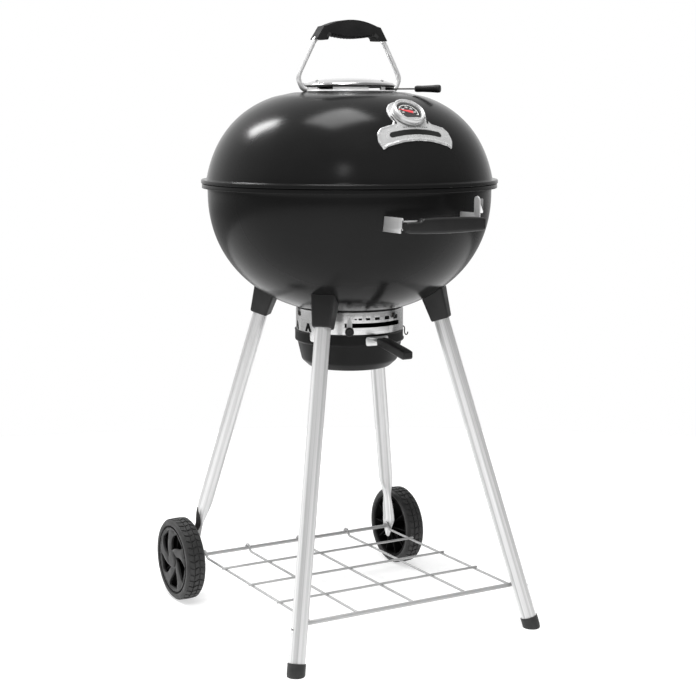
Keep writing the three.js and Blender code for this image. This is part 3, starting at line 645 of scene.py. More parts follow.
def front_leg(name, sx, sy):
    place = leg_frame(sx, sy)
    finish = leg_steel(f"leg_steel_{name}", place.to_euler()), "satin_steel"
    add(f"tube_{name}", moved(tube(9, 704), place), finish, "frame", [f"leg_{name}"])
    cap = spun([(0, -8), (12, -8, 4), (17, -3, 4), (18, 4, 5), (18, 24, 1.4), (16.3, 24), (16.3, 8), (0, 8)],
               1, 6, 64)
    floor = block((-400, -400, -60), (400, 400, 0))
    add(f"foot_{name}", moved(cap, place), RUBBER, "frame", [f"foot_cap_{name}"], cuts=[floor], smooth=40)


# Stations of a rear leg's foot: height, half width along the side of the kettle, half thickness.
PRESSED = [(64.5, 3.5, 1.2), (68, 8, 1.6), (77, 12.5, 1.6), (90, 18.5, 1.6), (107, 24.5, 1.6),
           (135, 23.5, 1.6), (150, 20.5, 1.8), (168, 17, 2.5), (185, 16.2, 7), (200, 16.2, 12),
           (216, 16, 15.7), (230, 16, 16)]
TAB_X = 254.1
# Painted shade: a dark sheet over the pressed hollow above the flat end, standing in for its shade and dark
# reflection: height, half thickness of the tube, and its two edges.
DENT_SHADE_STATIONS = [(149, 1.9, -1, 1), (156, 2.0, -8, 9), (168, 2.6, -12, 13), (180, 5.6, -10, 13), (192, 9.4, -5, 11),
        (202, 12.6, 1, 7), (207, 14.0, 3, 5)]


def rear_leg(name, sx, sy):
    """Tube pressed flat at its lower end, which stands upright round the axle."""
    rings = []
    sides = 48
    for z, wide, thick in [*spline(PRESSED, 5), Vector((700, 16, 16))]:
        centre = on_leg(sx, sy, z)
        x, y = sx * min(abs(centre.x), TAB_X), sy * min(abs(centre.y), AXLE_Y)
        power = 0.6 + 0.4 * min(1.0, thick / LEG_R)
        ring = []
        for i in range(sides):
            c, s = math.cos(2 * math.pi * i / sides), math.sin(2 * math.pi * i / sides)
            ring.append((x + thick * math.copysign(abs(c) ** power, c),
                         y + wide * math.copysign(abs(s) ** power, s), z))
        rings.append(ring)
    hole = rod((sx * 240, AXLE_Y, AXLE_Z), (sx * 275, AXLE_Y, AXLE_Z), 4.5, 32)
    finish = leg_steel(f"leg_steel_{name}", leg_frame(sx, sy).to_euler()), "satin_steel"
    add(f"tube_{name}", loft(rings), finish, "frame", [f"leg_{name}"], cuts=[hole], smooth=45)
    # A thin dark sheet on the leg's outer face: painted shade and painted reflection of the pressed hollow.
    dent_shade = []
    for z, thick, near, far in DENT_SHADE_STATIONS:
        centre = on_leg(sx, sy, z)
        x, y = sx * (min(abs(centre.x), TAB_X) + thick), sy * min(abs(centre.y), AXLE_Y)
        dent_shade.append([(x - sx * 1.5, y + near, z), (x - sx * 1.5, y + far, z), (x + sx * 0.35, y + far, z),
                     (x + sx * 0.35, y + near, z)])
    add(f"dent_{name}", loft(dent_shade), PAINTED_SHADE_FINISH, "frame", smooth=60)


# ---------------- axle and wheels

WHEEL_R, WHEEL_IN, WHEEL_OUT, TYRE_IN = 90.0, 257.0, 302.0, 74.0
SPOKES = 5
SPOKE_PITCH = 360 / SPOKES
SPOKE_IN, SPOKE_SPAN = 21, 44.5


def axle():
    bar = rod((-292, AXLE_Y, AXLE_Z), (292, AXLE_Y, AXLE_Z), 4, 32)
    collars = []
    for side in (-1, 1):
        ring = fillet(rectangle(4.2, 0, 7.5, 1.6), 0.4, 3)
        base = frame_of((0, 0, -side), (0, 1, 0), (side, 0, 0), (side * 256, AXLE_Y, AXLE_Z))
        collars.append(moved(lathe(ring, 32), base))
    add("axle_bar", join(bar, *collars), WIRE_STEEL, "frame", ["axle"])


def spoke_swirl(t):
    """Angle of an opening's middle, from its inner end (0) to its outer end (1)."""
    return 28 - 47 * t ** 0.55


def spoke_opening(index):
    """Comma-shaped opening between two blades of a wheel."""
    left, right = [], []
    steps = 10
    for i in range(steps + 1):
        t = i / steps
        r = SPOKE_IN + SPOKE_SPAN * t
        middle = SPOKE_PITCH * index + spoke_swirl(t)
        half = (10 + 116 * t - 93 * t ** 2) / 2
        left.append((*polar(r, middle + half)[:2], 0))
        right.append((*polar(r, middle - half)[:2], 0))
    left[-1], right[-1] = (*left[-1][:2], 4.5), (*right[-1][:2], 4.5)
    left[0], right[0] = (*left[0][:2], 1.5), (*right[0][:2], 1.5)
    return fillet(left + right[::-1], 0, 5)


def wheel_height(x, y):
    """Outer face of the wheel: a shallow dome whose blades are rolled over along one edge."""
    r = math.hypot(x, y)
    t = max(0.0, min(1.0, (r - SPOKE_IN) / SPOKE_SPAN))
    blade = (math.degrees(math.atan2(y, x)) - spoke_swirl(t)) / SPOKE_PITCH
    crown = math.sin(math.pi * (blade % 1)) ** 2
    fade = max(0.0, min(1.0, (r - 19) / 8)) * max(0.0, min(1.0, (67 - r) / 5))
    rim = max(0.0, min(1.0, (r - 66.5) / 2))
    return 41.0 + 2.2 * math.cos(math.pi * r / 150) + 2.6 * crown * fade + 2.2 * rim


def wheel(side, name):
    body = f"wheel_{name}"
    place = frame_of((0, side, 0), (0, 0, 1), (side, 0, 0), (side * WHEEL_IN, AXLE_Y, AXLE_Z))
    border = [tuple(polar(TYRE_IN - 2.4, 360 * i / 96)[:2]) for i in range(96)]
    holes = [spoke_opening(i) for i in range(SPOKES)]
    face = panel(border, holes, 3.4, wheel_height, lambda x, y: wheel_height(x, y) - 5)
    add(f"wheel_face_{name}", face, WHEEL_PLASTIC, body, [body], bevel=0.9, limit=55, smooth=42, place=place)
    barrel = spun([(TYRE_IN - GAP, 3), (TYRE_IN - GAP, 43.6), (TYRE_IN - 2, 44.6), (TYRE_IN - 4.4, 42.5),
                   (TYRE_IN - 5, 36), (TYRE_IN - 5.5, 3)], 1.0, 4, 128, closed=True)
    hub = spun([(5, 1), (15.5, 1), (16.5, 38), (17.5, 42, 2), (16.5, 44), (11, 45), (0, 45.4), (0, 37),
                (5, 37)], 1.2, 4, 64)
    ribs = []
    for i in range(10):
        rib = [(15, 3), (69, 6), (69, 36), (16, 36)]
        ribs.append(moved(prism(rib, -1.1, 1.1), turn(36 * i) @ SIDE_VIEW))
    drum = join(barrel, hub, *ribs)
    # Drum, hub and ribs in the near-black plastic: painted shade inside the wheel.
    add(f"wheel_barrel_{name}", drum, PAINTED_SHADE_PLASTIC, body, place=place)
    cap = spun([(0, 41), (17.2, 41), (17.4, 44.6, 1.5), (12, 46.4, 3), (0, 47)], 0.4, 4, 64)
    add(f"wheel_cap_{name}", cap, WHEEL_PLASTIC, body, place=place)
    width = WHEEL_OUT - WHEEL_IN
    carcass = spun([(TYRE_IN, 3.5), (75.5, 1.2, 1), (79, 0.4, 2), (84, 1.0, 4), (87.2, 4.5, 3), (87.2, 8, 2),
                    (87.2, width / 2, 0), (87.2, width - 8, 2), (87.2, width - 4.5, 3), (84, width - 1.0, 4),
                    (79, width - 0.4, 2), (75.5, width - 1.2, 1), (TYRE_IN, width - 3.5)], 0.8, 5, 160,
                   closed=True)
    add(f"tyre_carcass_{name}", carcass, RUBBER, body, [f"tyre_{name}"], place=place)
    add(f"tyre_tread_{name}", tread(width), RUBBER, body, smooth=30, place=place)


def tread_block(corners, width, around):
    """A raised rubber block over an outline of (share of the pitch, share of the width)."""
    pitch = 360 / TREAD_COUNT
    rings = []
    for drop, shrink in ((4.5, 0), (0.35, 0), (0, 0.04)):
        ring = []
        cx = sum(c[0] for c in corners) / len(corners)
        cy = sum(c[1] for c in corners) / len(corners)
        for u, w in corners:
            u, w = u + (cx - u) * shrink * 2.5, w + (cy - w) * shrink
            across = (w - 0.5) * width
            radius = WHEEL_R - drop - 0.7 * (abs(w - 0.5) / 0.33) ** 2
            ring.append(polar(radius, (around + u) * pitch, width / 2 + across))
        rings.append(ring)
    return loft(rings)


TREAD_COUNT = 38
TREAD_ROWS = [(0.13, 0.35, 0.06, 0.36), (0.40, 0.60, 0.36, 0.06), (0.65, 0.87, 0.06, 0.36)]


def tread(width):
    blocks = []
    for i in range(TREAD_COUNT):
        for near, far, start, end in TREAD_ROWS:
            corners = [(start, near), (start + 0.78, near), (end + 0.78, far), (end, far)]
            blocks.append(tread_block(corners, width, i))
    return join(*blocks)


# ---------------- bottom rack

RACK = {"left": -222.0, "right": 249.4, "front": -240.4, "z": 85.0, "wire": 2.6, "edge": 4.5}
LONG_WIRES = (RACK["left"], -116, 14, 140, RACK["right"])


def rack():
    z, r, front = RACK["z"], RACK["wire"], RACK["front"]
    parts = [rod((-246, front, z), (RACK["right"] + 4, front, z), RACK["edge"], 24)]
    for x in LONG_WIRES:
        bend = [(x, front - 1, z), (x, front + 40, z), (x, 60, z), (x, AXLE_Y - 40, z), (x, AXLE_Y - 22, z),
                (x, AXLE_Y - 14.5, z + 1)]
        for angle in (150, 115, 80, 45, 10, -20):
            p = polar(4 + r + 1.4, angle)
            bend.append((x, AXLE_Y + p[0], AXLE_Z + p[1]))
        parts.append(sweep(spline(bend, 4), r, 12))
    for y in (145, 15, -114):
        parts.append(rod((RACK["left"] - 11, y, z + 2 * r - 0.6), (RACK["right"] + 3, y, z + 2 * r - 0.6), r,
                         12))
    add("rack_wires", join(*parts), WIRE_STEEL, "frame", ["bottom_rack"], smooth=50)


def rack_bolts():
    for sx, name in ((-1, "left"), (1, "right")):
        centre = on_leg(sx, -1, RACK["z"])
        outer = centre + Vector((sx * (LEG_R - 0.2), 0, 0))
        add(f"rack_bolt_{name}", bolt_head(outer, (sx, 0, 0.2), 4.2, 3.4, 5.6), CHROME, "frame")


# ---------------- vent band

BAND_R = 112.0
LEVER_ANGLE = -119.8
LEVER_SWEEP = 60
HOOKS = (-29.8, -149.8, 90.2)
HOOK_Z = 620.0
CLIPS = (-186.8, -66.8, 53.2)
CHEVRONS = (-218.1, -193.5, -168.9)
MARKS = (6.5, 11.2, 19.6, 30.4, 43.1, 57.4)


def vent_band():
    r = BAND_R
    profile = fillet([(r, 598), (r, 663.4, 1.6), (r - 9.5, 661.4, 0.3), (r - 9.5, 660, 0.3),
                      (r - 1.5, 661.6, 0.5), (r - 1.5, 598)], 0.4, 5)
    start = LEVER_ANGLE - 5
    cuts = [sector(100, 120, start, start + LEVER_SWEEP + 10, 631.3, 640.5, 48)]
    for i, step in enumerate(MARKS):
        half = 1.3 + 0.55 * i
        angle = LEVER_ANGLE + step
        cuts.append(sector(100, 120, angle - half, angle + half, 648.6 - half, 648.6 + half, 4))
    arrow = [(-10.5, 618.5), (-3.6, 636), (3.6, 636), (10.5, 618.5), (3.2, 618.5), (0, 625.5), (-3.2, 618.5)]
    for angle in CHEVRONS:
        cuts.append(moved(prism(arrow, 100, 120), turn(angle) @ FACE_ON))
    for angle in HOOKS:
        cuts.append(rod(polar(100, angle, HOOK_Z), polar(120, angle, HOOK_Z), 2.2, 16))
    add("band_shell", lathe(profile, 180), BAND_STEEL, "frame", ["vent_band"], cuts=cuts, smooth=30)
    # Dark sheets inside the band, behind the chevrons and behind the marks: painted shade, so the openings
    # look dark.
    painted_shade_backing = sector(109.7, 110.3, CHEVRONS[0] - 8, CHEVRONS[-1] + 8, 615, 640, 32)
    painted_shade_screen = sector(109.7, 110.3, LEVER_ANGLE + 2, LEVER_ANGLE + 64, 643, 654, 24)
    add("band_backing", join(painted_shade_backing, painted_shade_screen), SHADOW, "frame")
    seam_lap = moved(block((BAND_R - 0.2, -7, 618.6), (BAND_R + 0.8, 7, 655)), turn(140))
    add("band_lap", seam_lap, BAND_STEEL, "frame", bevel=0.3)


def band_fittings():
    for i, angle in enumerate(HOOKS):
        path = [(107, 0), (112.8, 0), (115.4, -4), (115.4, -13), (118.4, -18), (121.6, -15.6), (122, -12)]
        points = spline([polar(r, angle, HOOK_Z + z) for r, z in path], 5)
        add(f"hook_wire_{i + 1}", sweep(points, 1.25, 10), DARK_STEEL, "frame", [f"pot_hook_{i + 1}"])
    for i, angle in enumerate(CLIPS):
        side = fillet([(99.6, 660), (99.6, 642), (109.5, 642), (109.5, 643.5), (101.6, 643.5), (101.6, 660)],
                      0.6)
        solid = moved(prism(side, -5, 5), turn(angle) @ SIDE_VIEW)
        add(f"clip_strip_{i + 1}", solid, DARK_STEEL, "frame", [f"band_clip_{i + 1}"], bevel=0.3)
        tab = moved(block((BAND_R + 0.1, -5, 648), (BAND_R + 1.3, 5, 657)), turn(angle))
        rivet = moved(bolt_head((BAND_R + 1.1, 0, 652), (1, 0, 0), 2.0, 1.4, 2.6), turn(angle))
        add(f"clip_tab_{i + 1}", join(tab, rivet), DARK_STEEL, "frame", bevel=0.25)


# ---------------- ash pot

POT_R = 114.0
NOTCH = 25.0
NOTCH_ANGLES = (-29.8, -154.2, 90.2)
# Stations along the pot's grip: y, bottom, top, half width.
POT_GRIP = [(-129.4, 596.4, 610.4, 9), (-130.4, 595.2, 611.6, 10.6), (-134, 594.6, 612, 11),
            (-150, 592.5, 612, 11), (-185, 587, 606, 11), (-215, 582, 601, 11.2), (-225, 580.6, 599, 11.2),
            (-231, 582, 597.4, 10.8), (-233.5, 585, 594.4, 9)]


def pot():
    outer = [(0, 536), (58, 536, 8), (84, 538.5, 14), (100, 553, 12), (109, 591.6, 3), (113.2, 594.2, 1.2),
             (POT_R, 596, 1.2), (POT_R, 614.4, 1.5), (POT_R + 0.9, 615.6, 0.9), (POT_R + 0.4, 616.6, 0.5)]
    inner = [(POT_R - 1.4, 616.4, 0.5), (POT_R - 1.6, 596.6, 1), (107.6, 592.6, 2), (98.4, 554, 12),
             (83, 540.4, 13), (58, 537.7, 6), (0, 537.7)]
    notch = moved(prism(fillet([(-NOTCH, 640), (-NOTCH, 598), (NOTCH, 598), (NOTCH, 640)], 6, 6), 100, 125),
                  FACE_ON)
    notches = [moved(notch, turn(angle)) for angle in NOTCH_ANGLES]
    add("pot_shell", spun(outer + inner, 1, 7, 180), POT_ENAMEL, "ash_pot", ["ash_pot"], cuts=notches,
        smooth=32)


def pot_handle():
    low, high, half = 594.3, 612.7, 26
    points = fillet(rectangle(-half, low, half, high), 5, 6)
    wrapped = []
    for depth in (POT_R + 0.5, POT_R + 2.3):
        ring = []
        for x, z in densified(points, 4):
            ring.append(polar(depth, -90 + math.degrees(x / POT_R), z))
        wrapped.append(ring)
    plate = loft(wrapped)
    flange = fillet([(-20, -POT_R - 1.5, 1), (20, -POT_R - 1.5, 1), (14, -POT_R - 12, 4),
                     (-14, -POT_R - 12, 4)], 2, 4)
    shelf = prism(flange, 609.6, 611.6)
    arm = block((-9, -146, 602), (9, -POT_R - 1.6, 604.2))
    add("pot_bracket_plate", join(plate, shelf, arm), STRAP_STEEL, "ash_pot", ["pot_handle_bracket"],
        bevel=0.35, limit=60, smooth=40)
    rings = []
    for y, low, high, half in POT_GRIP:
        middle, tall = (low + high) / 2, (high - low) / 2
        rings.append(rounded_ring(half, tall, 0.24, lambda a, b, y=y, m=middle: Vector((a, y, m + b))))
    pocket = block((-10, -147, 601.4), (10, -120, 604.8))
    add("pot_grip_bar", loft(rings), PLASTIC, "ash_pot", ["pot_grip"], cuts=[pocket], smooth=30)
    screw = bolt_head((0, -140, 611.8), (0, -0.02, 1), 3.0, 1.6, 3.6)
    add("pot_grip_screw", screw, DARK_STEEL, "ash_pot")


def densified(points, step):
    """The closed outline with extra points so that no stretch is longer than the step."""
    found = []
    for i, a in enumerate(points):
        b = points[(i + 1) % len(points)]
        count = max(1, int(math.dist(a, b) / step))
        for k in range(count):
            t = k / count
            found.append((a[0] + (b[0] - a[0]) * t, a[1] + (b[1] - a[1]) * t))
    return found


def rounded_ring(half, tall, corner, put, steps=5):
    """A rounded rectangle, its corner radius a share of the smaller half size."""
    r = min(half, tall) * corner * 2
    square = rectangle(-half, -tall, half, tall)
    return [put(a, b) for a, b in fillet(square, r, steps)]


# ---------------- ash sweeper

def sweeper():
    facing = turn(LEVER_ANGLE) @ FACE_ON
    eye = spun(rectangle(5.4, 634, 12, 637), 0.4, 3, 48, closed=True)
    arm = moved(block((10, -5, 634), (116, 5, 637)), turn(LEVER_ANGLE))
    pointer = prism(fillet([(-5.5, 622), (5.5, 622), (5.5, 641, 2), (0, 653, 0.8), (-5.5, 641, 2)], 1.2, 4),
                    114.4, 116.2)
    add("lever_strip", join(eye, arm, moved(pointer, facing)), STRAP_STEEL, "ash_sweeper", ["sweeper_lever"],
        bevel=0.35)
    knob = spun([(0, 0), (7.4, 0), (7.8, 2, 1), (9, 3.2), (9.2, 9, 2.5), (8, 12.4, 1.5), (6.2, 13.3, 0.6),
                 (5.6, 12.4, 0.6), (2.4, 12.2, 0.6), (1.8, 12.9), (0, 13)], 1, 4, 64)
    toward = turn(LEVER_ANGLE) @ Matrix.Translation((116.7, 0, 624.5)) @ FACE_ON
    add("lever_knob", moved(knob, toward), PLASTIC, "ash_sweeper", ["sweeper_knob"], smooth=40)


# ---------------- grates

def grate(body, r, z, rod_r, pitch, ring_r, finish):
    ring = [polar(r - ring_r, 360 * i / 96, z) for i in range(96)]
    parts = [sweep(ring, ring_r, 14, closed=True)]

    def reach(offset):
        return math.sqrt((r - ring_r) ** 2 - offset ** 2)

    count = int((r - 10) / pitch)
    for i in range(-count, count + 1):
        x = i * pitch
        parts.append(rod((x, -reach(x), z), (x, reach(x), z), rod_r, 12))
    for y in (-r / 2, r / 2):
        parts.append(rod((-reach(y), y, z - rod_r * 1.7), (reach(y), y, z - rod_r * 1.7), rod_r, 12))
    if body == "cooking_grate":
        for side in (-1, 1):
            half = [(4, -38, 0), (6, -36, 12), (12, -28, 22), (14, 0, 24)]
            loop = half + [(inset, -y, lift) for inset, y, lift in half[-2::-1]]
            grip = [(side * (r - inset), y, z + lift) for inset, y, lift in loop]
            parts.append(sweep(spline(grip, 6), 2.6, 12))
    add(f"{body}_rods", join(*parts), finish, body, [body], smooth=50)


# ---------------- front handle

HANDLE = {"left": -84.0, "right": 90.5, "half": 91.0, "back": -346.0, "front": -370.0, "low": 838.0,
          "high": 871.0}


def front_handle():
    x, back = HANDLE["right"], HANDLE["back"]
    low, high = HANDLE["low"] + 5, HANDLE["high"] + 1
    parts = []
    for side in (-1, 1):
        arm = [(back + 2.6, low + 8, 1), (back + 11, low + 8, 0.6), (back + 11, low, 1.5), (-262, low),
               (-262, high), (back + 2.6, high, 4)]
        if side > 0:
            arm = [(back + 2.6, low, 2), (-262, low), (-262, high), (back + 21, high, 4),
                   (back + 21, high + 28, 8), (back + 12, high + 33, 8), (back + 3, high + 28, 8)]
        near = HANDLE["left"] if side < 0 else x - 2.5
        if side < 0:
            arm = [(y, z - 4, *rest) for y, z, *rest in arm]
        plate = prism(fillet(arm, 0.5, 5), near, near + 2.5)
        parts.append(moved(plate, FACE_ON))
    parts.append(block((HANDLE["left"], back + 2.6, 845), (x, back + 5, 863)))
    parts.append(block((-83, back - 18, 861.2), (-57, back + 5, 862.8)))
    add("handle_strap", join(*parts), STRAP_STEEL, "frame", ["handle_bracket"], cuts=[kettle_space(0.4)],
        bevel=0.5)
    small = prism(fillet(rectangle(x + 0.4, 872, x + 8.5, 899), 2, 4), -1, 1)
    upright = Matrix.Translation((0, back + 7, 0)) @ SIDE_VIEW
    bolt = bolt_head((x + 0.1, back + 12, high + 21), (1, 0, 0), 4.0, 3.4, 5.2)
    add("handle_hook_plate", join(moved(small, upright), bolt), CHROME, "frame", ["handle_tab_bolt"],
        bevel=0.4)
    rings = []
    half, steps = HANDLE["half"], 52
    for i in range(steps + 1):
        t = -0.93 + 1.93 * i / steps
        shrink = max(0.0, (t - 0.94) / 0.06, (-t - 0.87) / 0.06)
        top = HANDLE["high"] - 3 - 3.2 * t * t - 3.5 * shrink ** 2
        top = min(top, 861 + max(0.0, t * half + 57) * 1.3)
        bottom = HANDLE["low"] + 3.0 * t * t + 3.5 * shrink ** 2
        front = HANDLE["front"] + 5.5 * t * t + 4 * shrink ** 2
        depth = (back - front) / 2
        middle, tall = (top + bottom) / 2, (top - bottom) / 2
        rings.append(rounded_ring(depth, tall, 0.3, lambda a, b, w=t * half, c=(back + front) / 2,
                                  m=middle: Vector((w, c + a, m + b))))
    add("front_grip", loft(rings), PLASTIC, "frame", ["handle_grip"], smooth=28)


# ---------------- lid

def lid_surface(inset, steps=60):
    """Outline of the lid from its flat top to its edge."""
    level = LID_FLAT_Z - inset
    points = [(0, level), (110, level), (114.5, level - 0.1), (118, level - 0.7), (121, level - 1.1)]
    side = outline(LID, 1, inset, 0.22, 0.885, steps)
    side = [(r, z - 2.2 * math.exp(-((r - 130) / 20) ** 2)) for r, z in side]
    return points + [(r, z) for r, z in side if r > 124 and z > RIM_Z + 12]


AIR_HOLE = {"at": 52, "r": 15}


def air_holes(low, high):
    """Cutters for the round holes that the lid's flat top and the damper disc share."""
    at, r = AIR_HOLE["at"], AIR_HOLE["r"]
    return [rod(polar(at, angle, low), polar(at, angle, high), r, 48) for angle in QUARTERS]


def lid():
    skirt = LID["a"] * (1 - ((RIM_Z + 7 - LID["z"]) / LID["b"]) ** LID["n"]) ** (1 / LID["n"])
    edge = fillet([(skirt - 1.1, RIM_Z + 12.5, 0), (skirt, RIM_Z + 8, 2.5), (305, RIM_Z + 8, 2.8),
                   (305, RIM_Z + GAP, 0.8), (303, RIM_Z + GAP, 0.8), (303, RIM_Z + 6, 1),
                   (skirt, RIM_Z + 6, 1.5), (skirt, RIM_Z + GAP, 0.8), (skirt - SHEET, RIM_Z + GAP, 0.8),
                   (skirt - SHEET - 0.2, RIM_Z + 11, 0)], 1, 5, closed=False)
    shell = lathe(lid_surface(0) + edge + lid_surface(SHEET)[::-1], 192)
    cuts = [*air_holes(1080, 1120), rod(on_gauge(0, 0, -20), on_gauge(0, 0, 20), 4, 24)]
    add("lid_shell", shell, ENAMEL, "lid", ["lid"], cuts=cuts, smooth=32)


PROBE_R = 223.0
SLOPE = (dome(PROBE_R + 1) - dome(PROBE_R - 1)) / 2
NORMAL = Vector((0, SLOPE, 1)).normalized()
UP_LID = NORMAL.cross(Vector((1, 0, 0)))
GAUGE = frame_of((1, 0, 0), UP_LID, NORMAL, (0, -PROBE_R, dome(PROBE_R)))


def on_gauge(x, y, z):
    return GAUGE @ Vector((x, y, z))


def lid_height(x, y):
    """Height of the lid's surface over the gauge's own plane, at its x and y."""
    low, high = -60.0, 12.0
    for _ in range(22):
        z = (low + high) / 2
        p = on_gauge(x, y, z)
        r = math.hypot(p.x, p.y)
        if r < LID["a"] and p.z < dome(r):
            low = z
        else:
            high = z
    return z


# ---------------- lid vent

VENT_R = 91.0
VENT_LEVER_ANGLE = -45
DAMPER_Z = 1108.7


def vent():
    low = LID_FLAT_Z + GAP
    profile = fillet([(VENT_R - 2, low + 1), (95, low + 1), (95, low + 2.4, 0.7), (93.4, low + 2.7, 0.3),
                      (93.4, low + 3.9, 0.7), (VENT_R, low + 4.4, 0.5), (VENT_R, 1114), (VENT_R - 2, 1114)],
                     0.3, 4)
    cuts = [sector(80, 100, a, a + 24, 1107.2, 1112, 16) for a in (15, 105, 195)]
    cuts.append(sector(80, 100, VENT_LEVER_ANGLE - 50, VENT_LEVER_ANGLE + 5, 1106, 1111.5, 24))
    add("vent_collar", lathe(profile, 180), COLLAR_STEEL, "lid", ["vent_housing"], cuts=cuts, smooth=32)
    # A gasket under the flange; its near-black plastic also paints the shadow line under the flange.
    gasket = spun(rectangle(85, 1101.9, 96.5, low + 1), 0.1, 2, 128, closed=True)
    add("vent_gasket", gasket, GASKET_AND_SHADOW, "lid")
    # A near-black ring under the cap's rim: painted shadow for the gap under the cap.
    shadow_ring = spun(rectangle(87, 1112.2, 92, 1115), 0.4, 3, 128, closed=True)
    add("vent_cap_shadow", shadow_ring, GASKET_AND_SHADOW, "lid")
    lap = moved(block((VENT_R - 0.3, -6, 1106.4), (VENT_R + 0.7, 6, 1112.6)), turn(-72))
    add("vent_lap", lap, COLLAR_STEEL, "lid", bevel=0.25)
    cap = fillet([(0, 1127), (60, 1124.6, 20), (88, 1117, 6), (91, 1114.8, 1), (93, 1114.6, 0.8),
                  (94, 1116.4, 1.2), (91, 1120, 3), (72, 1126.0, 14), (40, 1129.6, 20), (0, 1131)], 1, 6,
                 closed=False)
    add("cap_dome", lathe(cap, 180), CAP_CHROME, "lid", ["vent_cap"], smooth=35)
    screws = []
    for angle in (60, 180, 300):
        p = polar(76, angle, 1124.6)
        screws.append(bolt_head(p, (p.x * 0.25 / 76, p.y * 0.25 / 76, 1), 2.8, 1.8, 3.2))
    add("cap_screws", join(*screws), CAP_CHROME, "lid")


def damper():
    disc = spun(rectangle(0, 1103, 84, 1105), 0.5, 3, 128)
    add("damper_plate", disc, GRATE_STEEL, "lid_damper", ["damper_disc"], cuts=air_holes(1100, 1110),
        bevel=0.3)
    path = [(70, 1106.2), (80, 1108), (92, DAMPER_Z), (141, DAMPER_Z)]
    path = [polar(r, VENT_LEVER_ANGLE, z) for r, z in path]
    add("damper_rod", sweep(spline(path, 6), 1.5, 14), DARK_STEEL, "lid_damper", ["damper_lever"])
    x, up = polar(1, VENT_LEVER_ANGLE), Vector((0, 0, 1))
    along = frame_of(up, up.cross(x), x, (0, 0, DAMPER_Z))
    grip = spun([(0, 137), (5.2, 137, 1.5), (6.6, 141, 2), (6.4, 153, 4), (7.2, 173, 10), (8.1, 184, 3),
                 (7.4, 188.8, 1.5), (5.6, 190, 1), (0, 190)], 1, 5, 56)
    add("damper_knob", moved(grip, along), PLASTIC, "lid_damper", ["damper_grip"], smooth=45)


# ---------------- lid handle

BAIL = {"r": 5.0, "top_x": 80, "top_z": 1209, "wide_x": 117.5, "wide_z": 1128, "foot_x": 100}


def bail():
    r, top_x, top_z = BAIL["r"], BAIL["top_x"], BAIL["top_z"]
    wide_x, wide_z, foot_x = BAIL["wide_x"], BAIL["wide_z"], BAIL["foot_x"]
    left = [(-foot_x, 0, LID_FLAT_Z + r + GAP), (-foot_x - 8, 0, LID_FLAT_Z + r + 2.5),
            (-wide_x + 4, 0, wide_z - 10), (-wide_x, 0, wide_z + 4), (-wide_x + 7, 0, wide_z + 22),
            (-top_x - 3, 0, top_z - 8), (-top_x + 1.5, 0, top_z - 2), (-top_x + 14, 0, top_z + 7.5),
            (-50, 0, top_z + 14), (0, 0, top_z + 18)]
    path = left + [(-x, y, z) for x, y, z in left[-2::-1]]
    add("handle_wire", sweep(spline(path, 8), r, 20), BAIL_STEEL, "lid", ["bail_wire"])
    hoop = []
    for i in range(41):
        angle = 2.7 + 174.6 * i / 40
        flare = max(0.0, 1 - (min(angle, 180 - angle) - 2.7) / 25) ** 2
        hoop.append(polar(98.3 + (wide_x - 102.8) * flare, angle, 1120))
    add("handle_hoop", sweep(hoop, 3.5, 16), BAIL_STEEL, "lid", ["bail_hoop"])


def bail_grip():
    top = [(x, 1247 - 14 * (x / 62) ** 2, 0) for x in range(-62, 63, 4)]
    belly = [(x, 1213.5 + 5 * (x / 46) ** 2, 0) for x in range(45, -46, -5)]
    outline_points = [(-84, 1206, 1.2), (-66, 1233, 2.5), *top[1:-1], (66, 1233, 2.5), (82, 1206, 1.2),
                      (57, 1206, 2), (53, 1214, 4), (47.5, 1219, 3), *belly, (-47.5, 1219, 3),
                      (-53, 1214, 4), (-57, 1206, 2)]
    side = moved(prism(fillet(outline_points, 1, 4), -14, 14), SIDE_VIEW)
    add("lid_grip", side, GRIP_PLASTIC, "lid", ["bail_grip"], bevel=2.0, steps=4, limit=50, smooth=50)
    ridges = []
    for i in range(13):
        x = -43.2 + 7.2 * i
        z = 1212.6 + 5 * (x / 46) ** 2
        ridges.append(rod((x, -13.2, z), (x, 13.2, z), 3.1, 18, 1.2))
    add("lid_grip_ridges", join(*ridges), GRIP_PLASTIC, "lid", smooth=50)
    inlays = []
    for side_y in (-1, 1):
        for sx in (-1, 1):
            pocket = fillet([(sx * 49.5, 1216), (sx * 58, 1210), (sx * 61, 1215), (sx * 53, 1222)], 1.6, 4)
            shape = prism(pocket, -0.3, 0.3)
            inlays.append(moved(shape, Matrix.Translation((0, side_y * 14.1, 0)) @ SIDE_VIEW))
    add("lid_grip_inlays", join(*inlays), GRIP_INLAY, "lid")


# ---------------- thermometer and badge

HEAD_R = 42.0
DIAL = {"start": -28, "sweep": 236, "ticks": 24, "numbers": 5}
NEEDLE_ANGLE = 72


def badge_outline():
    """Round head over an arched banner, in the gauge's own plane."""
    right = [(44, -25, 6), (70, -29, 8), (80, -38, 7), (83, -56, 6), (76.5, -73.5, 4), (67, -69, 5),
             (34, -65, 30)]
    start = -math.degrees(math.asin(16 / HEAD_R))
    head = [polar(HEAD_R, start + (180 - 2 * start) * i / 40)[:2] for i in range(41)]
    left = [(-x, y, r) for x, y, r in right[::-1]]
    loop = [(*p, 0) for p in head] + left[::-1] + [(0, -63.5, 60)] + right[::-1]
    return densified(fillet(loop, 0, 6), 2.2)


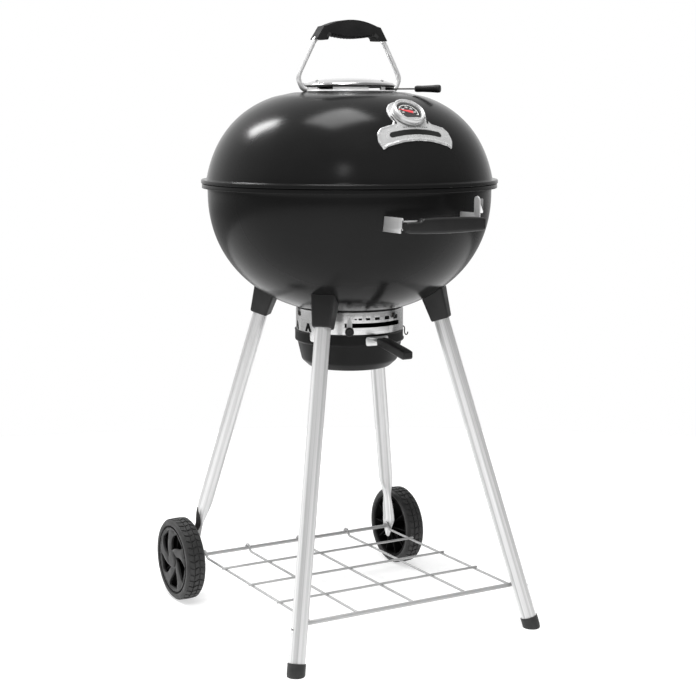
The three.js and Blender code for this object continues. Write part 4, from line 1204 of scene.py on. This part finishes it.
def badge():
    border = badge_outline()

    def top(x, y):
        edge = edge_distance(x, y, border)
        rolled = 1.3 * max(0.0, 1 - edge / 1.6) ** 2
        raised = 1.5 * max(0.0, min(1.0, (4.6 - edge) / 1.6))
        return lid_height(x, y) + 2.2 + raised - rolled

    hole = [tuple(polar(4, -15 * i)[:2]) for i in range(24)]
    plate = panel(border, [hole], 2.2, top, lambda x, y: lid_height(x, y) + 0.9)
    add("badge_shell", plate, BADGE_STEEL, "lid", ["badge_plate"], smooth=38, place=GAUGE)

    def inlay(name, points, lift):
        made = panel(densified(points, 3), [], 3, lambda x, y: lid_height(x, y) + lift, lambda x,
                     y: lid_height(x, y) + 1.5)
        add(name, made, PLASTIC, "lid", place=GAUGE)

    bar = [(-54, -42.5), (-27, -40.3), (0, -39.6), (27, -40.3), (54, -42.5), (59, -48), (55, -53.6),
           (27, -51.6), (0, -51), (-27, -51.6), (-55, -53.6), (-59, -48)]
    inlay("badge_inlay", fillet(bar, 5, 5), 2.75)
    for i, x in enumerate((-24, -19, -14, 12, 17, 22, 27)):
        dash = fillet([(x, -34.6), (x + 3, -34.8), (x + 3, -33.4), (x, -33.2)], 0.4, 2)
        inlay(f"badge_mark_{i + 1}", dash, 2.5)
    # Two dark patches beside the head: painted shade for the dark gaps between the bezel and the plate.
    for i, sx in enumerate((-1, 1)):
        slot_shade_points = fillet([(sx * 40.5, -3), (sx * 37.4, -6), (sx * 34, -24), (sx * 37, -24)], 1, 4)
        inlay(f"badge_slot_shade_{i + 1}", slot_shade_points, 4.0)


def thermometer():
    ring = spun([(0, 2.2), (33.5, 2.2), (33.5, 9, 1), (32.4, 12.6, 1.6), (30.4, 13.9, 1.4), (28.6, 13.2, 1),
                 (27.9, 11.6, 0.8), (27, 12.6, 0.8), (25.9, 12.7, 0.8), (25.2, 11, 0.6), (25.2, 6.9, 0.3),
                 (0, 6.9)], 0.5, 5, 144)
    probe = rod((0, 0, -5), (0, 0, 12), 3, 24)
    add("gauge_bezel", ring, BADGE_STEEL, "lid", ["thermometer_bezel"], cuts=[probe], place=GAUGE, smooth=40)
    low = -math.degrees(math.acos(-13.5 / 25.0))
    chord = [polar(25.0, low + (-180 - 2 * low) * i / 20)[:2] for i in range(21)]
    add("gauge_lip", prism([tuple(p) for p in chord], 9.9, 12.4), BADGE_STEEL, "lid", bevel=0.5, place=GAUGE)
    dial = spun(rectangle(2.2, 7.2, 24.9, 8), 0.15, 2, 96, closed=True)
    add("gauge_dial", dial, DIAL_FACE, "lid", ["thermometer_dial"], place=GAUGE)
    arc = [sector(19.6, 20.4, DIAL["start"], DIAL["start"] + DIAL["sweep"], 8.0, 8.12, 80)]
    for i in range(DIAL["ticks"] + 1):
        angle = DIAL["start"] + DIAL["sweep"] * i / DIAL["ticks"]
        inner, half = (16.4, 1.4) if i % 4 == 0 else (17.9, 0.7)
        arc.append(sector(inner, 19.7, angle - half, angle + half, 8.0, 8.12, 2))
    add("gauge_scale", join(*arc), WHITE_PRINT, "lid", place=GAUGE)
    numerals()
    lens = lathe([(0, 10.6), (24.8, 10.6), (24.8, 11.2), (18, 11.9), (9, 12.3), (0, 12.4)], 96)
    add("gauge_lens", lens, GLASS, "lid", ["thermometer_lens"], place=GAUGE)
    stem = rod((0, 0, -60), (0, 0, 6.8), 2.5, 24, 1)
    add("gauge_stem", stem, WIRE_STEEL, "lid", ["thermometer_stem"], place=GAUGE)
    hand = prism(fillet([(-2.9, -1), (-0.5, 21), (0.5, 21), (2.9, -1), (3.4, -9), (-3.4, -9)], 0.4, 3), 9.0,
                 9.8)
    boss = spun([(0, 8.7), (3.6, 8.7), (3.6, 10.2), (0, 10.4)], 0.5, 3, 32)
    add("gauge_hand", moved(join(hand, boss), turn(NEEDLE_ANGLE)), RED_PAINT, "gauge_needle",
        ["thermometer_needle"], bevel=0.15, place=GAUGE)


def numerals():
    """The numbers of the scale, as thin raised print."""
    parts = []
    for i in range(1, DIAL["numbers"] + 1):
        curve = bpy.data.curves.new("numeral", "FONT")
        curve.body = str(100 * i)
        curve.size = 4.6
        curve.align_x = curve.align_y = "CENTER"
        curve.extrude = 0.06
        text = bpy.data.objects.new("numeral", curve)
        bpy.context.scene.collection.objects.link(text)
        bpy.context.view_layer.update()
        flat = bpy.data.meshes.new_from_object(text.evaluated_get(bpy.context.evaluated_depsgraph_get()))
        share = 1 - (i - 0.5) / DIAL["numbers"]
        centre = polar(12.6, DIAL["start"] + DIAL["sweep"] * share)
        vertices = [v.co + Vector((centre.x, centre.y, 8.06)) for v in flat.vertices]
        parts.append((vertices, [list(p.vertices) for p in flat.polygons]))
        bpy.data.objects.remove(text)
    add("gauge_numerals", join(*parts), WHITE_PRINT, "lid", place=GAUGE)


# ---------------- carried-over CAD node

def sweeper_blades():
    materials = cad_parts["sweeper_blades"].data.materials
    materials.clear()
    materials.append(DARK_STEEL[0])


# ---------------- camera, floor and light

CAMERA_AT = (-1.527, -2.659, 1.052)
CAMERA_TURN = (81.15, 0, -29.77)
FLOOR = {"r": 4.5, "toward_camera": 2.6, "sides": 120}
# Direction from which the room is brightest.
BRIGHT_SIDE = (0.1, 0.99, -0.1)
# Soft boxes: name, place, target, width, height, watts.
SOFT_BOXES = [
    ("ceiling", (-0.19, 0.12, 3.25), (-0.15, -0.2, 1.06), 1.15, 0.9, 34),
    ("behind_left", (-1.24, 1.89, 3.1), (-0.22, -0.05, 1.05), 0.52, 0.97, 55),
    ("front_left", (-1.63, -2.37, 2.5), (-0.15, -0.24, 0.97), 0.45, 0.45, 4),
    ("fill", (-1.05, -1.9, 5.2), (0, 0, 0.7), 2.5, 2.5, 270),
]


def camera():
    data = bpy.data.cameras.new("camera")
    data.lens = 76.65
    data.sensor_width = 36
    data.shift_x = -0.0019
    data.clip_end = 200
    obj = bpy.data.objects.new("camera", data)
    obj.location = CAMERA_AT
    obj.rotation_euler = [math.radians(a) for a in CAMERA_TURN]
    bpy.context.scene.collection.objects.link(obj)
    bpy.context.scene.camera = obj


def floor():
    mesh = bpy.data.meshes.new("floor")
    middle = polar(-FLOOR["toward_camera"], 90 + CAMERA_TURN[2])
    edge = [middle + polar(FLOOR["r"], 360 * i / FLOOR["sides"]) for i in range(FLOOR["sides"])]
    mesh.from_pydata([tuple(p) for p in edge], [], [list(range(FLOOR["sides"]))])
    obj = bpy.data.objects.new("floor", mesh)
    bpy.context.scene.collection.objects.link(obj)
    n = Nodes("floor_paint", ior=1.3, specular=0.1, glow=(1, 1, 1, 1), glow_strength=0.62)
    mesh.materials.append(n.finished(n.colours(n.noise(3, 3), 0.49, 0.51), n.ranged(n.noise(8, 3), 0.7, 0.8)))


def lights():
    """The soft boxes. The large fill leaves no mirror image of its own."""
    for name, at, toward, width, height, watts in SOFT_BOXES:
        data = bpy.data.lights.new(name, "AREA")
        data.shape = "RECTANGLE"
        data.size = width
        data.size_y = height
        data.energy = watts
        obj = bpy.data.objects.new(name, data)
        obj.location = at
        obj.rotation_euler = (Vector(toward) - Vector(at)).to_track_quat("-Z", "Y").to_euler()
        obj.visible_glossy = name != "fill"
        bpy.context.scene.collection.objects.link(obj)


def room():
    """A white room that is darker behind the camera and below the floor, and plain white when seen itself."""
    world = bpy.data.worlds.new("studio")
    bpy.context.scene.world = world
    world.use_nodes = True
    tree = world.node_tree
    tree.nodes.clear()
    direction = node(tree, "TexCoord", {}).outputs["Generated"]
    facing = node(tree, "VectorMath", {0: direction, 1: BRIGHT_SIDE},
                  operation="DOT_PRODUCT").outputs["Value"]
    share = node(tree, "MapRange", {"From Min": -1, "From Max": 1, "Value": facing}).outputs["Result"]
    ramp = node(tree, "ValToRGB", {"Fac": share})
    low, high = ramp.color_ramp.elements
    low.position, low.color = 0.45, (0.3, 0.3, 0.3, 1)
    high.position, high.color = 0.93, (1, 1, 1, 1)
    height = node(tree, "SeparateXYZ", {"Vector": direction}).outputs["Z"]
    below = {"From Min": -0.12, "From Max": 0, "To Min": 0.4, "Value": height}
    scale = node(tree, "MapRange", below).outputs["Result"]
    dimmed = node(tree, "VectorMath", {0: ramp.outputs["Color"], "Scale": scale}, operation="SCALE")
    seen = node(tree, "LightPath", {}).outputs["Is Camera Ray"]
    shades = {"Factor": seen, "A": dimmed.outputs["Vector"], "B": (1, 1, 1, 1)}
    shown = node(tree, "Mix", shades, data_type="RGBA").outputs["Result"]
    background = node(tree, "Background", {"Color": shown}).outputs["Background"]
    node(tree, "OutputWorld", {"Surface": background})
    bpy.context.scene.view_settings.view_transform = "Standard"


# ---------------- the whole grill

bowl()
ledges()
for corner in CORNERS:
    socket(*corner)
    (front_leg if corner[2] < 0 else rear_leg)(*corner)
axle()
for side, name in ((-1, "left"), (1, "right")):
    wheel(side, name)
rack()
rack_bolts()
vent_band()
band_fittings()
pot()
pot_handle()
sweeper()
sweeper_blades()
grate("cooking_grate", r=283, z=886, rod_r=2.5, pitch=15.5, ring_r=3.5, finish=GRATE_STEEL)
grate("charcoal_grate", r=219, z=742, rod_r=3, pitch=25, ring_r=4, finish=DARK_STEEL)
front_handle()
lid()
vent()
damper()
bail()
bail_grip()
badge()
thermometer()
camera()
floor()
room()
lights()
